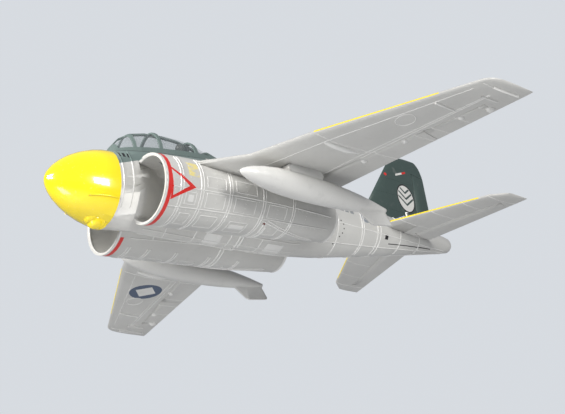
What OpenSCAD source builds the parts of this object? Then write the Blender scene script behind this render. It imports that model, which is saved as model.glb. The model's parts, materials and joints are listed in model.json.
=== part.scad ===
/* [Overall] */
// Wing span, tip to tip
span = 700; // [580:10:840]
// Length from the nose tip to the end of the tail cone
length = 612; // [510:6:740]
// Moulded skin thickness of the fuselage halves
skin = 2.4; // [1.8:0.2:3.2]

/* [Nose and canopy] */
// Length of the nose cone
radome_len = 68; // [60:1:78]
// Height of the nose tip above the lowest point
nose_z = 47.5; // [42:0.5:54]
// Radius of the ball turret under the nose
turret_r = 9.5; // [7:0.5:11]
// Height of the front of the sloping deck that the canopy hatch sits on
deck_z = 88.5; // [87:0.5:90]
// Rise of the deck for each millimetre towards the tail
deck_slope = 0.16; // [0.13:0.01:0.18]
// Distance from the nose tip to the front of the hatch
hatch_start = 72; // [70:1:76]
// Length of the canopy hatch
hatch_len = 150; // [140:1:155]
// Height of the canopy above its deck
canopy_h = 36.5; // [28:0.5:42]
// How far the hatch lifts to clear the cockpit
hatch_lift = 60; // [40:5:80]

/* [Nacelles] */
// Distance from the nose tip to the intake lips
intake_start = 94; // [90:1:100]
// Length of each nacelle, intake lip to exhaust rim
pod_len = 239; // [220:1:260]
// Half width of the intake
intake_rx = 36.5; // [34:0.5:38]
// Half height of the intake
intake_rz = 38.5; // [36:0.5:40]
// Outer radius of the exhaust end
exhaust_r = 25.5; // [24:0.5:27.5]
// Distance of the intake centre from the middle plane
intake_x = 40; // [39:0.5:43]
// Distance of the exhaust centre from the middle plane
exhaust_x = 45; // [43:0.5:47]
// Height that the exhaust centre stands above the intake centre
pod_rise = 13; // [10:0.5:15]

/* [Fans] */
// Rotor diameter
fan_d = 55; // [50:1:56]
// Length of the fan housing
fan_len = 45; // [40:1:50]
// Number of rotor blades
blades = 6; // [4:1:8]
// Diameter of the motor
motor_d = 24; // [20:1:26]
// Diameter of the motor shaft
shaft_d = 3; // [2:0.1:4]

/* [Wings] */
// Height of the wing plane at the middle plane
wing_z = 67.9; // [66:0.1:70]
// Drop of the wing for each millimetre of span
anhedral = 0.032; // [0.02:0.002:0.045]
// Thickness of the wing at its root
wing_t = 12; // [10:0.5:14]
// Thickness of the wing at its tip
tip_t = 5; // [4.6:0.2:6]
// Chord at the wing tip
tip_chord = 60; // [54:1:68]
// Distance of the aileron's outer end from the wing tip
tip_len = 40; // [34:1:48]
// Length of each aileron
aileron_len = 69; // [55:1:80]
// Diameter of each wing spar
spar_d = 5; // [4:0.5:6]

/* [Tail] */
// Height of the top of the fin
fin_top = 214; // [190:1:225]
// Height of the stabiliser plane
stab_z = 85.4; // [82:0.2:88]
// Half span of the stabilisers
stab_half = 157; // [130:1:175]

/* [Drop tanks] */
// Length of each drop tank
tank_len = 208; // [180:1:230]
// Radius of each drop tank
tank_r = 14.5; // [12:0.5:16]
// Distance of each drop tank from the middle plane
tank_x = 113; // [105:1:120]
// Height of the drop tanks' axis
tank_z = 40; // [36:0.5:42]

/* [Controls] */
// Radius of the rounded nose of a control surface
barrel_r = 1.5; // [1.3:0.1:1.6]
// Radius of the hinge wires
wire_r = 0.5; // [0.4:0.05:0.6]
// Length of a servo arm and of a control horn, shaft to hole
arm_r = 9; // [8:0.5:10]
// Radius of the pushrod wire
rod_r = 0.45; // [0.4:0.05:0.6]

/* [Hidden] */

// Clearances
seat = 0.12;
run = 0.05;
end_gap = 0.4;
barrel_gap = 0.4;
blade_gap = 0.4;

// Places along the body; the nose points to -Y
nose_y = -length / 2;
tail_y = length / 2;
joint_y = nose_y + radome_len;
intake_y = nose_y + intake_start;
exhaust_y = intake_y + pod_len;
hatch_y = nose_y + hatch_start;
hatch_end = hatch_y + hatch_len;
half_span = span / 2;
BIG = 400;
EPS = 0.01;

// Colours
WHITE = [0.9, 0.9, 0.88];
DECK = [0.43, 0.5, 0.49];
SLATE = [0.22, 0.3, 0.29];
YELLOW = [1, 0.88, 0.1];
DARK = [0.12, 0.12, 0.13];
STEEL = [0.7, 0.7, 0.72];
NYLON = [0.94, 0.94, 0.9];

// Body sections: [y, half width, lowest z, highest z, widest z, lower-half roundness]
BODY = [
    [joint_y, 35.5, 7.5, 92.5, 48, 2.1],
    [intake_y, 34, 8, 105, 56, 1.5],
    [nose_y + 126, 34, 9.5, 113, 60, 1.45],
    [nose_y + 188, 35, 13.5, 121, 64, 1.7],
    [nose_y + 222, 35, 16, 119.5, 66, 1.9],
    [nose_y + 306, 34, 22.5, 117.5, 68, 2],
    [nose_y + 344, 33, 27.5, 117, 70, 2],
    [tail_y - 146, 25, 53, 112, 81, 2],
    [tail_y - 92, 19.5, 65, 108, 86, 2],
    [tail_y - 25, 11, 79.5, 105.5, 92, 2],
    [tail_y - 7, 8.4, 83.4, 103.2, 94, 2],
    [tail_y - 2, 5.6, 87.6, 100, 94, 2],
    [tail_y, 2.5, 91.5, 96.5, 94, 2]];
BODY_N = 28;
POD_N = 32;

// Smooth curve through column k of a table whose column 0 rises
function seg(t, y, i = 0) = (i >= len(t) - 2 || y <= t[i + 1][0]) ? i : seg(t, y, i + 1);
function rise(t, i, k) =
    let (a = max(i - 1, 0), b = min(i + 1, len(t) - 1)) (t[b][k] - t[a][k]) / (t[b][0] - t[a][0]);
function curve(t, y, k) =
    let (i = seg(t, y), h = t[i + 1][0] - t[i][0], u = (y - t[i][0]) / h, v = 1 - u)
    v * v * (1 + 2 * u) * t[i][k] + u * u * (3 - 2 * u) * t[i + 1][k]
    + h * u * v * (v * rise(t, i, k) - u * rise(t, i + 1, k));
function mix(a, b, u) = a + (b - a) * u;
function power(v, e) = sign(v) * pow(abs(v), e);
function spread(a, b, n) = [for (i = [0:n]) mix(a, b, i / n)];

// A closed ring of points about (cx, cz), round above and shaped by e below
function ring(y, cx, cz, w, up, down, e, n) = [for (i = [0:n - 1])
    let (c = cos(360 * i / n), s = sin(360 * i / n), p = s >= 0 ? 2 / 2.2 : 2 / e)
    [cx + w * power(c, p), y, cz + (s >= 0 ? up : down) * power(s, p)]];
function body_ring(y, inset = 0) =
    let (mid = curve(BODY, y, 4))
    ring(y, 0, mid, curve(BODY, y, 1) - inset, curve(BODY, y, 3) - mid - inset,
        mid - curve(BODY, y, 2) - inset, curve(BODY, y, 5), BODY_N);

// Nacelle section centre and radii at a place y
function pod_u(y) = (y - intake_y) / pod_len;
function pod_x(y) = mix(intake_x, exhaust_x, pod_u(y));
function pod_z(y) = let (u = pod_u(y)) intake_rz + pod_rise * u * (2 - u);
function pod_r(y, r0) = exhaust_r + (r0 - exhaust_r) * (1 - pow(max(pod_u(y), 0), 2.6));
function pod_ring(y, inset = 0) =
    let (rx = pod_r(y, intake_rx) - inset, rz = pod_r(y, intake_rz) - inset)
    [for (i = [0:POD_N - 1]) let (a = 360 * i / POD_N) [pod_x(y) + rx * cos(a), y, pod_z(y) + rz * sin(a)]];

// A solid through a list of rings with the same number of points, listed towards +Y or +X
module loft(rings, flip = false) {
    n = len(rings[0]);
    last = len(rings) - 1;
    sides = [for (j = [0:last - 1], i = [0:n - 1])
        let (a = j * n + i, b = j * n + (i + 1) % n)
        each [[a, b, b + n], [a, b + n, a + n]]];
    caps = [[for (i = [n - 1:-1:0]) i], [for (i = [0:n - 1]) last * n + i]];
    faces = concat(sides, caps);
    polyhedron([for (r = rings) each r], flip ? [for (f = faces) [for (i = [len(f) - 1:-1:0]) f[i]]] : faces);
}

// Height of the hatch deck at a place y
function deck(y) = deck_z + deck_slope * (y - hatch_y);

// A plate cut to a side outline of [y, z] points, between two values of x
module side_plate(x0, x1, points) {
    translate([x0, 0, 0]) rotate([90, 0, 90]) linear_extrude(x1 - x0) polygon(points);
}

// Everything above the deck between two places, from a height above it
module above_deck(x0, x1, y0, y1, low, high = BIG) {
    side_plate(x0, x1, [[y0, deck(y0) + low], [y1, deck(y1) + low],
        [y1, deck(y1) + high], [y0, deck(y0) + high]]);
}

module on_side(side) {
    mirror([side < 0 ? 1 : 0, 0, 0]) children();
}

// ---- Fuselage ----
body_ys = concat(spread(joint_y, nose_y + 222, 5), spread(nose_y + 306, tail_y - 146, 3),
    [tail_y - 92, tail_y - 55, tail_y - 25, tail_y - 14, tail_y - 7, tail_y - 4, tail_y - 2, tail_y]);

module body_solid(inset = 0) {
    loft([for (y = body_ys) body_ring(y, inset)]);
}

module body_cavity() {
    bay_ys = concat([joint_y + skin], spread(joint_y + 20, nose_y + 222, 3),
        spread(nose_y + 306, tail_y - 146, 2), [tail_y - 92, tail_y - 55]);
    loft([for (y = bay_ys) body_ring(y, skin)]);
}

pod_ys = [for (u = [0, 0.12, 0.26, 0.4, 0.52, 0.64, 0.74, 0.84, 0.92, 1]) intake_y + u * pod_len];

module pod_solid(grow = 0) {
    loft([for (y = pod_ys) pod_ring(y, -grow)]);
}

// The fan sits where the nacelle is still wide enough for it
fan_y = intake_y + 0.46 * pod_len;
fan_end = fan_y + fan_len;
fan_x = pod_x(fan_y + fan_len / 2);
fan_z = pod_z(fan_y + fan_len / 2);
fan_wall = 1.6;
fan_r = fan_d / 2 + blade_gap + fan_wall;
duct_wall = 0.8;
splitter_len = 56;
liner_step = 0.4;
duct_us = [0, 0.15, 0.3, 0.45, 0.6, 0.75, 0.9, 1];
duct_y = intake_y + splitter_len;

// The body's own side makes the inner wall of each intake, and fades out inside the duct
module splitter() {
    loft([for (v = [-0.02, 0.25, 0.5, 0.75, 0.98])
        let (y = intake_y + v * splitter_len, mid = curve(BODY, y, 4))
        ring(y, 0, mid, curve(BODY, y, 1) * (1 - pow(max(v, 0), 1.6)) + 0.5, 30,
            mid - curve(BODY, y, 2) + 2, curve(BODY, y, 5), BODY_N)]);
}

// Ring between the oval duct and the round fan bore
function duct_ring(y, inset) =
    let (u = (y - duct_y) / (fan_y - duct_y), v = u * u * (3 - 2 * u), r = fan_r - liner_step - inset,
        rx = pod_r(y, intake_rx) - skin - inset, rz = pod_r(y, intake_rz) - skin - inset)
    [for (i = [0:POD_N - 1]) let (a = 360 * i / POD_N)
        [mix(pod_x(y) + rx * cos(a), fan_x + r * cos(a), v), y,
            mix(pod_z(y) + rz * sin(a), fan_z + r * sin(a), v)]];

module intake_cavity() {
    difference() {
        loft([for (y = [intake_y - 1, intake_y + 0.12 * pod_len, duct_y]) pod_ring(y, skin)]);
        splitter();
    }
    loft([for (u = duct_us) duct_ring(mix(duct_y - 0.6, fan_y + 0.6, u), 0.05)]);
}

tube_tilt_x = atan((exhaust_x - fan_x) / (exhaust_y - fan_end));
tube_tilt_z = atan((pod_z(exhaust_y) - fan_z) / (exhaust_y - fan_end));
tube_len = exhaust_y - fan_end;

// Local +Z runs aft along the thrust tube from the back of the fan
module at_tube() {
    translate([fan_x, fan_end, fan_z]) rotate([tube_tilt_z - 90, 0, -tube_tilt_x]) children();
}

ring_len = 3;
tube_lap = 2.2;
tube_end_r = exhaust_r - 2.2;

module fan_cavity() {
    translate([fan_x, fan_y, fan_z]) rotate([-90, 0, 0]) cylinder(r = fan_r + seat, h = fan_len, $fn = 96);
    at_tube() translate([0, 0, -tube_lap])
        cylinder(r1 = fan_r - 0.3, r2 = tube_end_r, h = tube_len + 4, $fn = 96);
}

// Scoop in the body's side that lets the jet out past the tail boom
trough_len = 75;

// Its first stretch is straight, and clears the exhaust ring
trough_straight = ring_len + 2 * seat;

module exhaust_trough(grow = 0) {
    loft([for (v = [-1, 0, 0.35, 0.7, 1]) [for (i = [0:POD_N - 1])
        let (u = max(v, 0), a = 360 * i / POD_N, r = mix(exhaust_r + 0.6, 14, u) + grow,
            y = exhaust_y + (v < 0 ? 0.02 : trough_straight + u * trough_len))
        [exhaust_x + 10 * u + r * cos(a), y, pod_z(exhaust_y) + r * sin(a)]]]);
}

module airframe_solid(grow = 0) {
    body_solid(-grow);
    for (side = [1, -1]) {
        on_side(side) pod_solid(grow);
    }
}

hatch_side = 19;

module fuselage_half(side) {
    color(WHITE) on_side(side) difference() {
        union() {
            body_solid();
            pod_solid();
        }
        translate([-BIG, -BIG, -BIG]) cube([BIG, 2 * BIG, 2 * BIG]);
        difference() {
            body_cavity();
            pod_solid();
            exhaust_trough(skin);
        }
        exhaust_trough();
        intake_cavity();
        fan_cavity();
        // The deck is cut flat for the hatch, and opens into the battery bay
        above_deck(-1, BIG, hatch_y, hatch_end, 0);
        above_deck(-1, hatch_side, hatch_y + 14, hatch_end - 14, -8);
        magnet_set(seat);
        tail_servo_solid(seat);
        turret_solid(seat);
    }
}

// ---- Nose ----
function nose_ring(v, inset) =
    let (s = pow(1 - pow(1 - v, 1.7), 0.62), base = joint_y)
    ring(mix(nose_y, base, v), 0, mix(nose_z, BODY[0][4], pow(v, 0.8)), BODY[0][1] * s - inset,
        (BODY[0][3] - mix(nose_z, BODY[0][4], pow(v, 0.8))) * s - inset,
        (mix(nose_z, BODY[0][4], pow(v, 0.8)) - BODY[0][2]) * s - inset, 2.1, BODY_N);

turret_y = nose_y + 56;
turret_z = 12.2;
collar_r = turret_r + 1;

module turret_solid(grow = 0) {
    translate([0, turret_y, turret_z]) {
        sphere(r = turret_r + grow, $fn = 64);
        rotate([28, 0, 0]) cylinder(r = collar_r + grow, h = 9 + grow, $fn = 64);
    }
}

module radome() {
    color(YELLOW) difference() {
        loft([for (v = [0.002, 0.015, 0.05, 0.12, 0.22, 0.36, 0.52, 0.7, 0.86, 1]) nose_ring(v, 0)]);
        loft([for (v = [0.08, 0.22, 0.36, 0.52, 0.7, 0.86, 1.001]) nose_ring(v, skin)]);
        turret_solid(seat);
    }
}

module turret() {
    color(YELLOW) turret_solid();
}

// ---- Canopy hatch ----
HATCH = [
    [0, 9, 0.16 * canopy_h],
    [0.06, 15, 0.48 * canopy_h],
    [0.15, 20, 0.82 * canopy_h],
    [0.3, 23, canopy_h],
    [0.52, 24, 0.98 * canopy_h],
    [0.72, 23, 0.8 * canopy_h],
    [0.9, 19.5, 0.42 * canopy_h],
    [1, 17, 0.18 * canopy_h]];
hatch_v = [0, 0.05, 0.12, 0.22, 0.35, 0.5, 0.64, 0.78, 0.9, 1];
HATCH_N = 17;
frame_t = 2;
pane_t = 1;

function arch(v, inset) = [for (i = [0:HATCH_N - 1]) let (a = 180 * i / (HATCH_N - 1))
    [(curve(HATCH, v, 1) - inset) * power(cos(a), 0.9), hatch_y + seat + (hatch_len - 2 * seat) * v,
        deck(hatch_y + hatch_len * v) + seat + (curve(HATCH, v, 2) - inset) * sin(a)]];

module arch_solid(inset, from = 0, to = 1, sink = 0) {
    vs = concat([from], [for (v = hatch_v) if (v > from && v < to) v], [to]);
    translate([0, 0, -sink]) loft([for (v = vs) arch(v, inset)]);
}

hollow_v = [0.05, 0.97];

pane_lo = 7;
pane_cuts = [[0.06, 0.17], [0.19, 0.38], [0.405, 0.7], [0.73, 0.86]];

module pane_windows() {
    for (side = [1, -1], p = pane_cuts) {
        on_side(side)
            above_deck(1.6, BIG, hatch_y + p[0] * hatch_len, hatch_y + p[1] * hatch_len, pane_lo);
    }
}

module canopy_frame() {
    color(DECK) difference() {
        arch_solid(0);
        arch_solid(frame_t, hollow_v[0], hollow_v[1], EPS);
        pane_windows();
    }
}

module canopy_glazing() {
    color([0.75, 0.82, 0.85, 0.5]) intersection() {
        difference() {
            arch_solid(frame_t + seat, hollow_v[0], hollow_v[1]);
            arch_solid(frame_t + seat + pane_t, hollow_v[0] - 0.01, hollow_v[1] + 0.01, 1);
        }
        above_deck(-BIG, BIG, hatch_y + (hollow_v[0] + 0.01) * hatch_len,
            hatch_y + (hollow_v[1] - 0.01) * hatch_len, pane_lo - 3);
    }
}

tub_w = 16;
tub_y0 = hatch_y + 0.26 * hatch_len;
tub_y1 = hatch_y + 0.8 * hatch_len;
tub_wall = 1.5;
tub_floor = 3;
sill = 1;

module cockpit_tub() {
    color(DARK) difference() {
        above_deck(-tub_w, tub_w, tub_y0, tub_y1, sill, 9);
        above_deck(tub_wall - tub_w, tub_w - tub_wall, tub_y0 + 12, tub_y1 - 2, tub_floor);
    }
    // Ears that carry the tub inside the frame's foot
    color(DARK) for (y = [tub_y0 + 4, tub_y1 - 8]) {
        above_deck(-hatch_ear, hatch_ear, y, y + 4, 0.3, sill);
    }
}

hatch_ear = 20.2;
crew = [[-8, 0.46], [8, 0.62]];
head_r = 5;

module crew_seats() {
    color(DARK) for (c = crew) {
        y = hatch_y + c[1] * hatch_len + 8;
        above_deck(c[0] - 5, c[0] + 5, y, y + 3, tub_floor, 20);
    }
}

module crew_figures() {
    color([0.2, 0.2, 0.2]) for (c = crew) {
        y = hatch_y + c[1] * hatch_len + 1.5;
        translate([c[0], y, deck(y + 5) + tub_floor]) {
            cylinder(r = 5, h = 11, $fn = 32);
            translate([0, 0, 15]) sphere(r = head_r, $fn = 40);
        }
    }
}

magnet_x = 15;
magnet_r = 2.5;
magnet_h = 2.5;
magnet_y = hatch_end - 7;
magnet_z = deck(magnet_y - magnet_r) - 0.1;

module magnet_set(grow = 0) {
    for (side = [1, -1]) {
        translate([side * magnet_x, magnet_y, magnet_z - magnet_h - grow])
            cylinder(r = magnet_r + grow, h = magnet_h + (grow > 0 ? 3 : 0), $fn = 32);
    }
}

module hatch_magnets() {
    color(STEEL) magnet_set();
}

module hatch_keepers() {
    color(STEEL) for (side = [1, -1]) {
        translate([side * (magnet_x - 3), magnet_y, deck(magnet_y + magnet_r) + seat])
            cylinder(r = magnet_r - 0.5, h = 0.8, $fn = 32);
    }
}

// ---- Power and radio ----
tray_y = hatch_y + 20;
tray_z = 75.5;
tray_w = 46;
tray_len = 120;
battery_size = [33, 88, 16];
strap_t = 0.8;

module equipment_tray() {
    color([0.8, 0.65, 0.45]) difference() {
        translate([-tray_w / 2, tray_y, tray_z]) cube([tray_w, tray_len, 2]);
        airframe_pods(seat);
    }
}

module airframe_pods(grow) {
    for (side = [1, -1]) {
        on_side(side) pod_solid(grow);
    }
}

battery_y = tray_y + 4;

module battery() {
    color([0.15, 0.3, 0.6]) translate([-battery_size[0] / 2, battery_y, tray_z + 2]) cube(battery_size);
}

module battery_strap() {
    color(DARK) translate([0, battery_y + 40, tray_z + 2]) difference() {
        translate([-battery_size[0] / 2 - strap_t - seat, 0, 0])
            cube([battery_size[0] + 2 * (strap_t + seat), 15, battery_size[2] + seat + strap_t]);
        translate([-battery_size[0] / 2 - seat, -1, -1])
            cube([battery_size[0] + 2 * seat, 17, battery_size[2] + seat + 1]);
    }
}

module receiver() {
    color(DARK) translate([-12, battery_y + battery_size[1] + 2, tray_z + 2]) cube([24, 20, 9]);
}

module speed_controllers() {
    color([0.1, 0.35, 0.2]) for (side = [1, -1]) {
        on_side(side) translate([3, nose_y + 232, 88]) cube([14, 34, 6]);
    }
    color([0.8, 0.65, 0.45]) for (side = [1, -1]) {
        on_side(side) translate([3, nose_y + 232, 85]) cube([14, 34, 2.9]);
    }
}

// ---- Fans: each is built on a local axis that runs aft ----
hub_r = motor_d / 2 + 1.6;
rotor_len = 17;
stator_y = rotor_len + 3;

module at_fan() {
    translate([fan_x, fan_y, fan_z]) rotate([-90, 0, 0]) children();
}

module vane(r0, r1, h, t, pitch) {
    intersection() {
        difference() {
            cylinder(r = r1, h = h, $fn = 96);
            translate([0, 0, -1]) cylinder(r = r0, h = h + 2, $fn = 96);
        }
        translate([0, 0, h / 2]) rotate([pitch, 0, 0]) translate([0, -t / 2, -h]) cube([r1 + 1, t, 2 * h]);
    }
}

module fan_housing(side) {
    color(DARK) on_side(side) at_fan() {
        difference() {
            cylinder(r = fan_r, h = fan_len, $fn = 96);
            translate([0, 0, -1]) cylinder(r = fan_d / 2 + blade_gap, h = fan_len + 2, $fn = 96);
        }
        difference() {
            translate([0, 0, stator_y]) cylinder(r = hub_r, h = fan_len - stator_y - 4, $fn = 64);
            translate([0, 0, stator_y + 1.5]) cylinder(r = motor_d / 2 + seat, h = fan_len, $fn = 64);
            translate([0, 0, stator_y - 1]) cylinder(r = shaft_d / 2 + 1, h = 4, $fn = 48);
        }
        for (i = [0:4]) {
            rotate([0, 0, 72 * i]) translate([0, 0, stator_y + 2])
                vane(hub_r - 0.4, fan_d / 2 + 1, 14, 1.4, 8);
        }
    }
}

module fan_rotor(side) {
    color([0.85, 0.85, 0.85]) on_side(side) at_fan() {
        translate([0, 0, 2]) cylinder(r = hub_r, h = rotor_len - 2, $fn = 64);
        intersection() {
            translate([0, 0, 2]) sphere(r = hub_r, $fn = 64);
            translate([-BIG, -BIG, 2 - BIG]) cube([2 * BIG, 2 * BIG, BIG + EPS]);
        }
        cylinder(r = shaft_d / 2, h = stator_y + 16, $fn = 48);
        for (i = [0:blades - 1]) {
            rotate([0, 0, 360 / blades * i]) translate([0, 0, 3])
                vane(hub_r - 0.4, fan_d / 2, rotor_len - 5, 1.5, 42);
        }
    }
}

module fan_motors() {
    color(STEEL) for (side = [1, -1]) {
        on_side(side) at_fan() translate([0, 0, stator_y + 1.6]) difference() {
            cylinder(r = motor_d / 2, h = 22, $fn = 64);
            translate([0, 0, -1]) cylinder(r = shaft_d / 2 + run, h = 19, $fn = 48);
        }
    }
}

module intake_duct(side) {
    color(WHITE) on_side(side) difference() {
        loft([for (u = duct_us) duct_ring(mix(duct_y + 1, fan_y - seat, u), liner_step)]);
        loft([for (u = duct_us) duct_ring(mix(duct_y + 0.9, fan_y - seat + 0.1, u), liner_step + duct_wall)]);
    }
}

module thrust_tube(side) {
    r1 = fan_r - 0.5;
    r2 = tube_end_r - 0.6;
    h = tube_len - 1 + tube_lap;
    color([0.85, 0.85, 0.86]) on_side(side) difference() {
        at_tube() difference() {
            translate([0, 0, -tube_lap]) cylinder(r1 = r1, r2 = r2, h = h, $fn = 96);
            translate([0, 0, -tube_lap - EPS])
                cylinder(r1 = r1 - duct_wall, r2 = r2 - duct_wall, h = h + 2 * EPS, $fn = 96);
        }
        at_fan() cylinder(r = fan_r + 2, h = fan_len + seat, $fn = 96);
    }
}

module exhaust_rings() {
    color(STEEL) for (side = [1, -1]) {
        on_side(side) translate([exhaust_x, exhaust_y + seat, pod_z(exhaust_y)]) rotate([-90, 0, 0])
            difference() {
                cylinder(r = exhaust_r, h = ring_len, $fn = 96);
                translate([0, 0, -1]) cylinder(r = tube_end_r - 1.4, h = ring_len + 2, $fn = 96);
            }
    }
}

// ---- Wings ----
wing_root_x = 62;
tip_le = nose_y + 348 - tip_chord;
wing_le = [[wing_root_x, nose_y + 130], [85, nose_y + 153], [110, nose_y + 177.2], [181.3, nose_y + 205.2],
    [half_span - 10, tip_le - 4.9], [half_span - 6, tip_le - 2.3], [half_span - 3, tip_le + 0.1],
    [half_span - 1, tip_le + 3.7], [half_span, tip_le + 7]];
root_te = nose_y + 310.5;
tip_te = nose_y + 348;
tip_round = 10;

function line(t, x) =
    let (i = seg(t, x), u = (x - t[i][0]) / (t[i + 1][0] - t[i][0])) mix(t[i][1], t[i + 1][1], u);
function tip_u(x, end) = max(0, (x - end + tip_round) / tip_round);
function le(x) = line(wing_le, x) + 13 * (1 - sqrt(max(0, 1 - pow(tip_u(x, half_span), 2))));
function te(x) = mix(root_te, tip_te, (x - wing_root_x) / (half_span - wing_root_x));
function wing_thick(x) = mix(wing_t, tip_t, (x - wing_root_x) / (half_span - wing_root_x));
function mid_z(x) = wing_z - anhedral * x;

// Half thickness of a symmetric aerofoil at a share c of its chord, with a blunt trailing edge
edge = 0.5;
function foil(c) = 5 * (0.2969 * sqrt(c) - 0.126 * c - 0.3516 * c * c + 0.2843 * pow(c, 3)
    - 0.1036 * pow(c, 4));
FOIL = [0, 0.015, 0.06, 0.15, 0.3, 0.45, 0.6, 0.75, 0.88, 1];

// A ring of points for a surface section between y0 and y1, of thickness t
function section(y0, y1, t, k = 1) =
    let (half = [for (c = FOIL) [mix(y0, y1, c), k * (t * foil(c) + edge * c)]], n = len(FOIL))
    concat(half, [for (i = [n - 1:-1:1]) [half[i][0], -half[i][1]]]);
function tip_k(x, end) = sqrt(max(0.02, 1 - pow(tip_u(x, end), 2)));

wing_xs = [wing_root_x, 85, 110, 181.3, half_span - 60, half_span - tip_round, half_span - 6, half_span - 3,
    half_span - 1, half_span];

module wing_solid(grow = 0) {
    loft([for (x = wing_xs) [for (p = section(le(x) - grow, te(x) + grow, wing_thick(x) + 2 * grow,
        tip_k(x, half_span))) [x, p[0], mid_z(x) + p[1]]]]);
}

// Hinge line of the wing: at a fixed share of the chord
hinge_share = 0.69;
hinge_in = 84;
hinge_out = half_span - tip_len;
divide_x = hinge_out - aileron_len;
function hinge_pt(x) = [x, mix(le(110), te(110), hinge_share)
    + (mix(le(hinge_out), te(hinge_out), hinge_share) - mix(le(110), te(110), hinge_share))
    * (x - 110) / (hinge_out - 110), mid_z(x)];

// Local frame at a hinge: x along the hinge from p to q, y aft, z out of the surface
function unit(v) = v / norm(v);
module at_hinge(p, q, up) {
    ex = unit(q - p);
    ey = unit(cross(up, ex));
    ez = cross(ex, ey);
    multmatrix([[ex[0], ey[0], ez[0], p[0]], [ex[1], ey[1], ez[1], p[1]],
        [ex[2], ey[2], ez[2], p[2]], [0, 0, 0, 1]]) children();
}

// The slice of a surface behind its hinge wall, between two stations
module slice_box(x0, x1, front) {
    translate([x0, front, -BIG / 4]) cube([x1 - x0, BIG / 2, BIG / 2]);
}

// The two planes that bevel a control surface's nose
module bevels(x0, x1, b) {
    rotate([-b, 0, 0]) translate([x0 - 1, -BIG / 4, 0]) cube([x1 - x0 + 2, BIG / 4, BIG / 4]);
    rotate([b, 0, 0]) translate([x0 - 1, -BIG / 4, -BIG / 4]) cube([x1 - x0 + 2, BIG / 4, BIG / 4]);
}

module barrel(x0, x1, r) {
    translate([x0, 0, 0]) rotate([0, 90, 0]) cylinder(r = r, h = x1 - x0, $fn = 32);
}

horn_t = 1.2;

// Control horn: its hole lies straight out from the hinge, one arm length away
module horn(x, back) {
    translate([x + horn_t / 2, 0, 0]) rotate([90, 0, -90]) linear_extrude(horn_t) difference() {
        union() {
            translate([0, arm_r]) circle(r = 1.7, $fn = 32);
            polygon([[1.7, arm_r], [-1.7, arm_r + 0.2], [-back, 1.8], [-back, 0.8], [-3, 0.8],
                [1.7, arm_r - 1.5]]);
        }
        translate([0, arm_r]) circle(r = rod_r + run, $fn = 32);
    }
}

// A control surface cut from its parent, with its barrel, bore and horn, in the parent's hinge frame
module control(p, q, up, x0, x1, bevel, horn_x, horn_back) {
    difference() {
        union() {
            difference() {
                intersection() {
                    children();
                    at_hinge(p, q, up) slice_box(x0, x1, 0);
                }
                at_hinge(p, q, up) bevels(x0, x1, bevel);
            }
            at_hinge(p, q, up) barrel(x0, x1, barrel_r);
            at_hinge(p, q, up) horn(horn_x, horn_back);
        }
        at_hinge(p, q, up) barrel(x0 - 1, x1 + 1, wire_r + run);
    }
}

wire_in = 6;

// What a hinge line removes from its fixed surface
module hinge_cut(p, q, up, x0, x1) {
    at_hinge(p, q, up) {
        slice_box(x0 - end_gap, x1 + end_gap, -barrel_r - barrel_gap);
        barrel(x0 - wire_in, x1 + wire_in, wire_r + 0.02);
    }
}

module hinge_wire(p, q, up, x0, x1) {
    at_hinge(p, q, up) barrel(x0 - wire_in + 0.5, x1 + wire_in - 0.5, wire_r);
}

wing_p = hinge_pt(hinge_in);
wing_q = hinge_pt(hinge_out);
hinge_span = norm(wing_q - wing_p);
divide_s = hinge_span * (divide_x - hinge_in) / (hinge_out - hinge_in);
UP = [0, 0, 1];

// ---- Servos and linkages, in the hinge frame of the surface that they drive ----
servo = [13, 20, 8];
shaft_r = 1.5;
arm_t = 1.2;
servo_gap = 0.4;

// Body of a servo whose shaft lies at (x, -reach, lift), with its face 0.4 mm from the arm
module servo_body(x, reach, lift, grow = 0) {
    translate([x - arm_t / 2 - servo_gap - servo[0] - grow, -reach - 6 - grow, lift - servo[2] / 2 - grow])
        cube(servo + [2 * grow, 2 * grow, 2 * grow]);
}

module servo_unit(x, reach, lift) {
    servo_body(x, reach, lift);
    translate([x - arm_t / 2 - servo_gap - EPS, -reach, lift]) rotate([0, 90, 0])
        cylinder(r = shaft_r, h = servo_gap + arm_t + EPS, $fn = 32);
}

// Room for the arm and the shaft beside the servo, open upwards
module arm_slot(x, reach, lift) {
    translate([x - arm_t / 2 - servo_gap - seat - 0.1, -reach - 4, lift - 3.3])
        cube([arm_t + 2 * servo_gap + seat + 0.3, 8, 30]);
}

module arm_unit(x, reach, lift) {
    translate([x + arm_t / 2, -reach, lift]) rotate([90, 0, -90]) linear_extrude(arm_t) difference() {
        union() {
            circle(r = 2.8, $fn = 40);
            translate([-1.3, 0]) square([2.6, arm_r]);
            translate([0, arm_r]) circle(r = 1.5, $fn = 32);
        }
        circle(r = shaft_r + run, $fn = 32);
        translate([0, arm_r]) circle(r = rod_r + run, $fn = 32);
    }
}

rod_side = arm_t / 2 + 0.35 + 0.45;

// Pushrod between the arm's hole and the horn's hole
module rod_unit(x, reach, lift) {
    a = [x + rod_side, -reach, lift + arm_r];
    b = [x + rod_side, 0, arm_r];
    for (end = [a, b]) {
        translate([x - arm_t / 2 - 0.5, end[1], end[2]]) rotate([0, 90, 0])
            cylinder(r = rod_r, h = rod_side + arm_t / 2 + 0.5 + 2 * rod_r, $fn = 32);
    }
    d = b - a;
    translate(a) rotate([-90 + atan(d[2] / d[1]), 0, 0]) translate([0, 0, -1])
        cylinder(r = rod_r + 0.15, h = norm(d) + 2, $fn = 32);
}

// [horn station, servo distance ahead of the hinge, shaft height]
aileron_link = [divide_s + 12, 34, 1.6];
flap_link = [divide_s - 26, 36, 1.2];
aileron_bevel = 30;
flap_bevel = 43;

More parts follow.
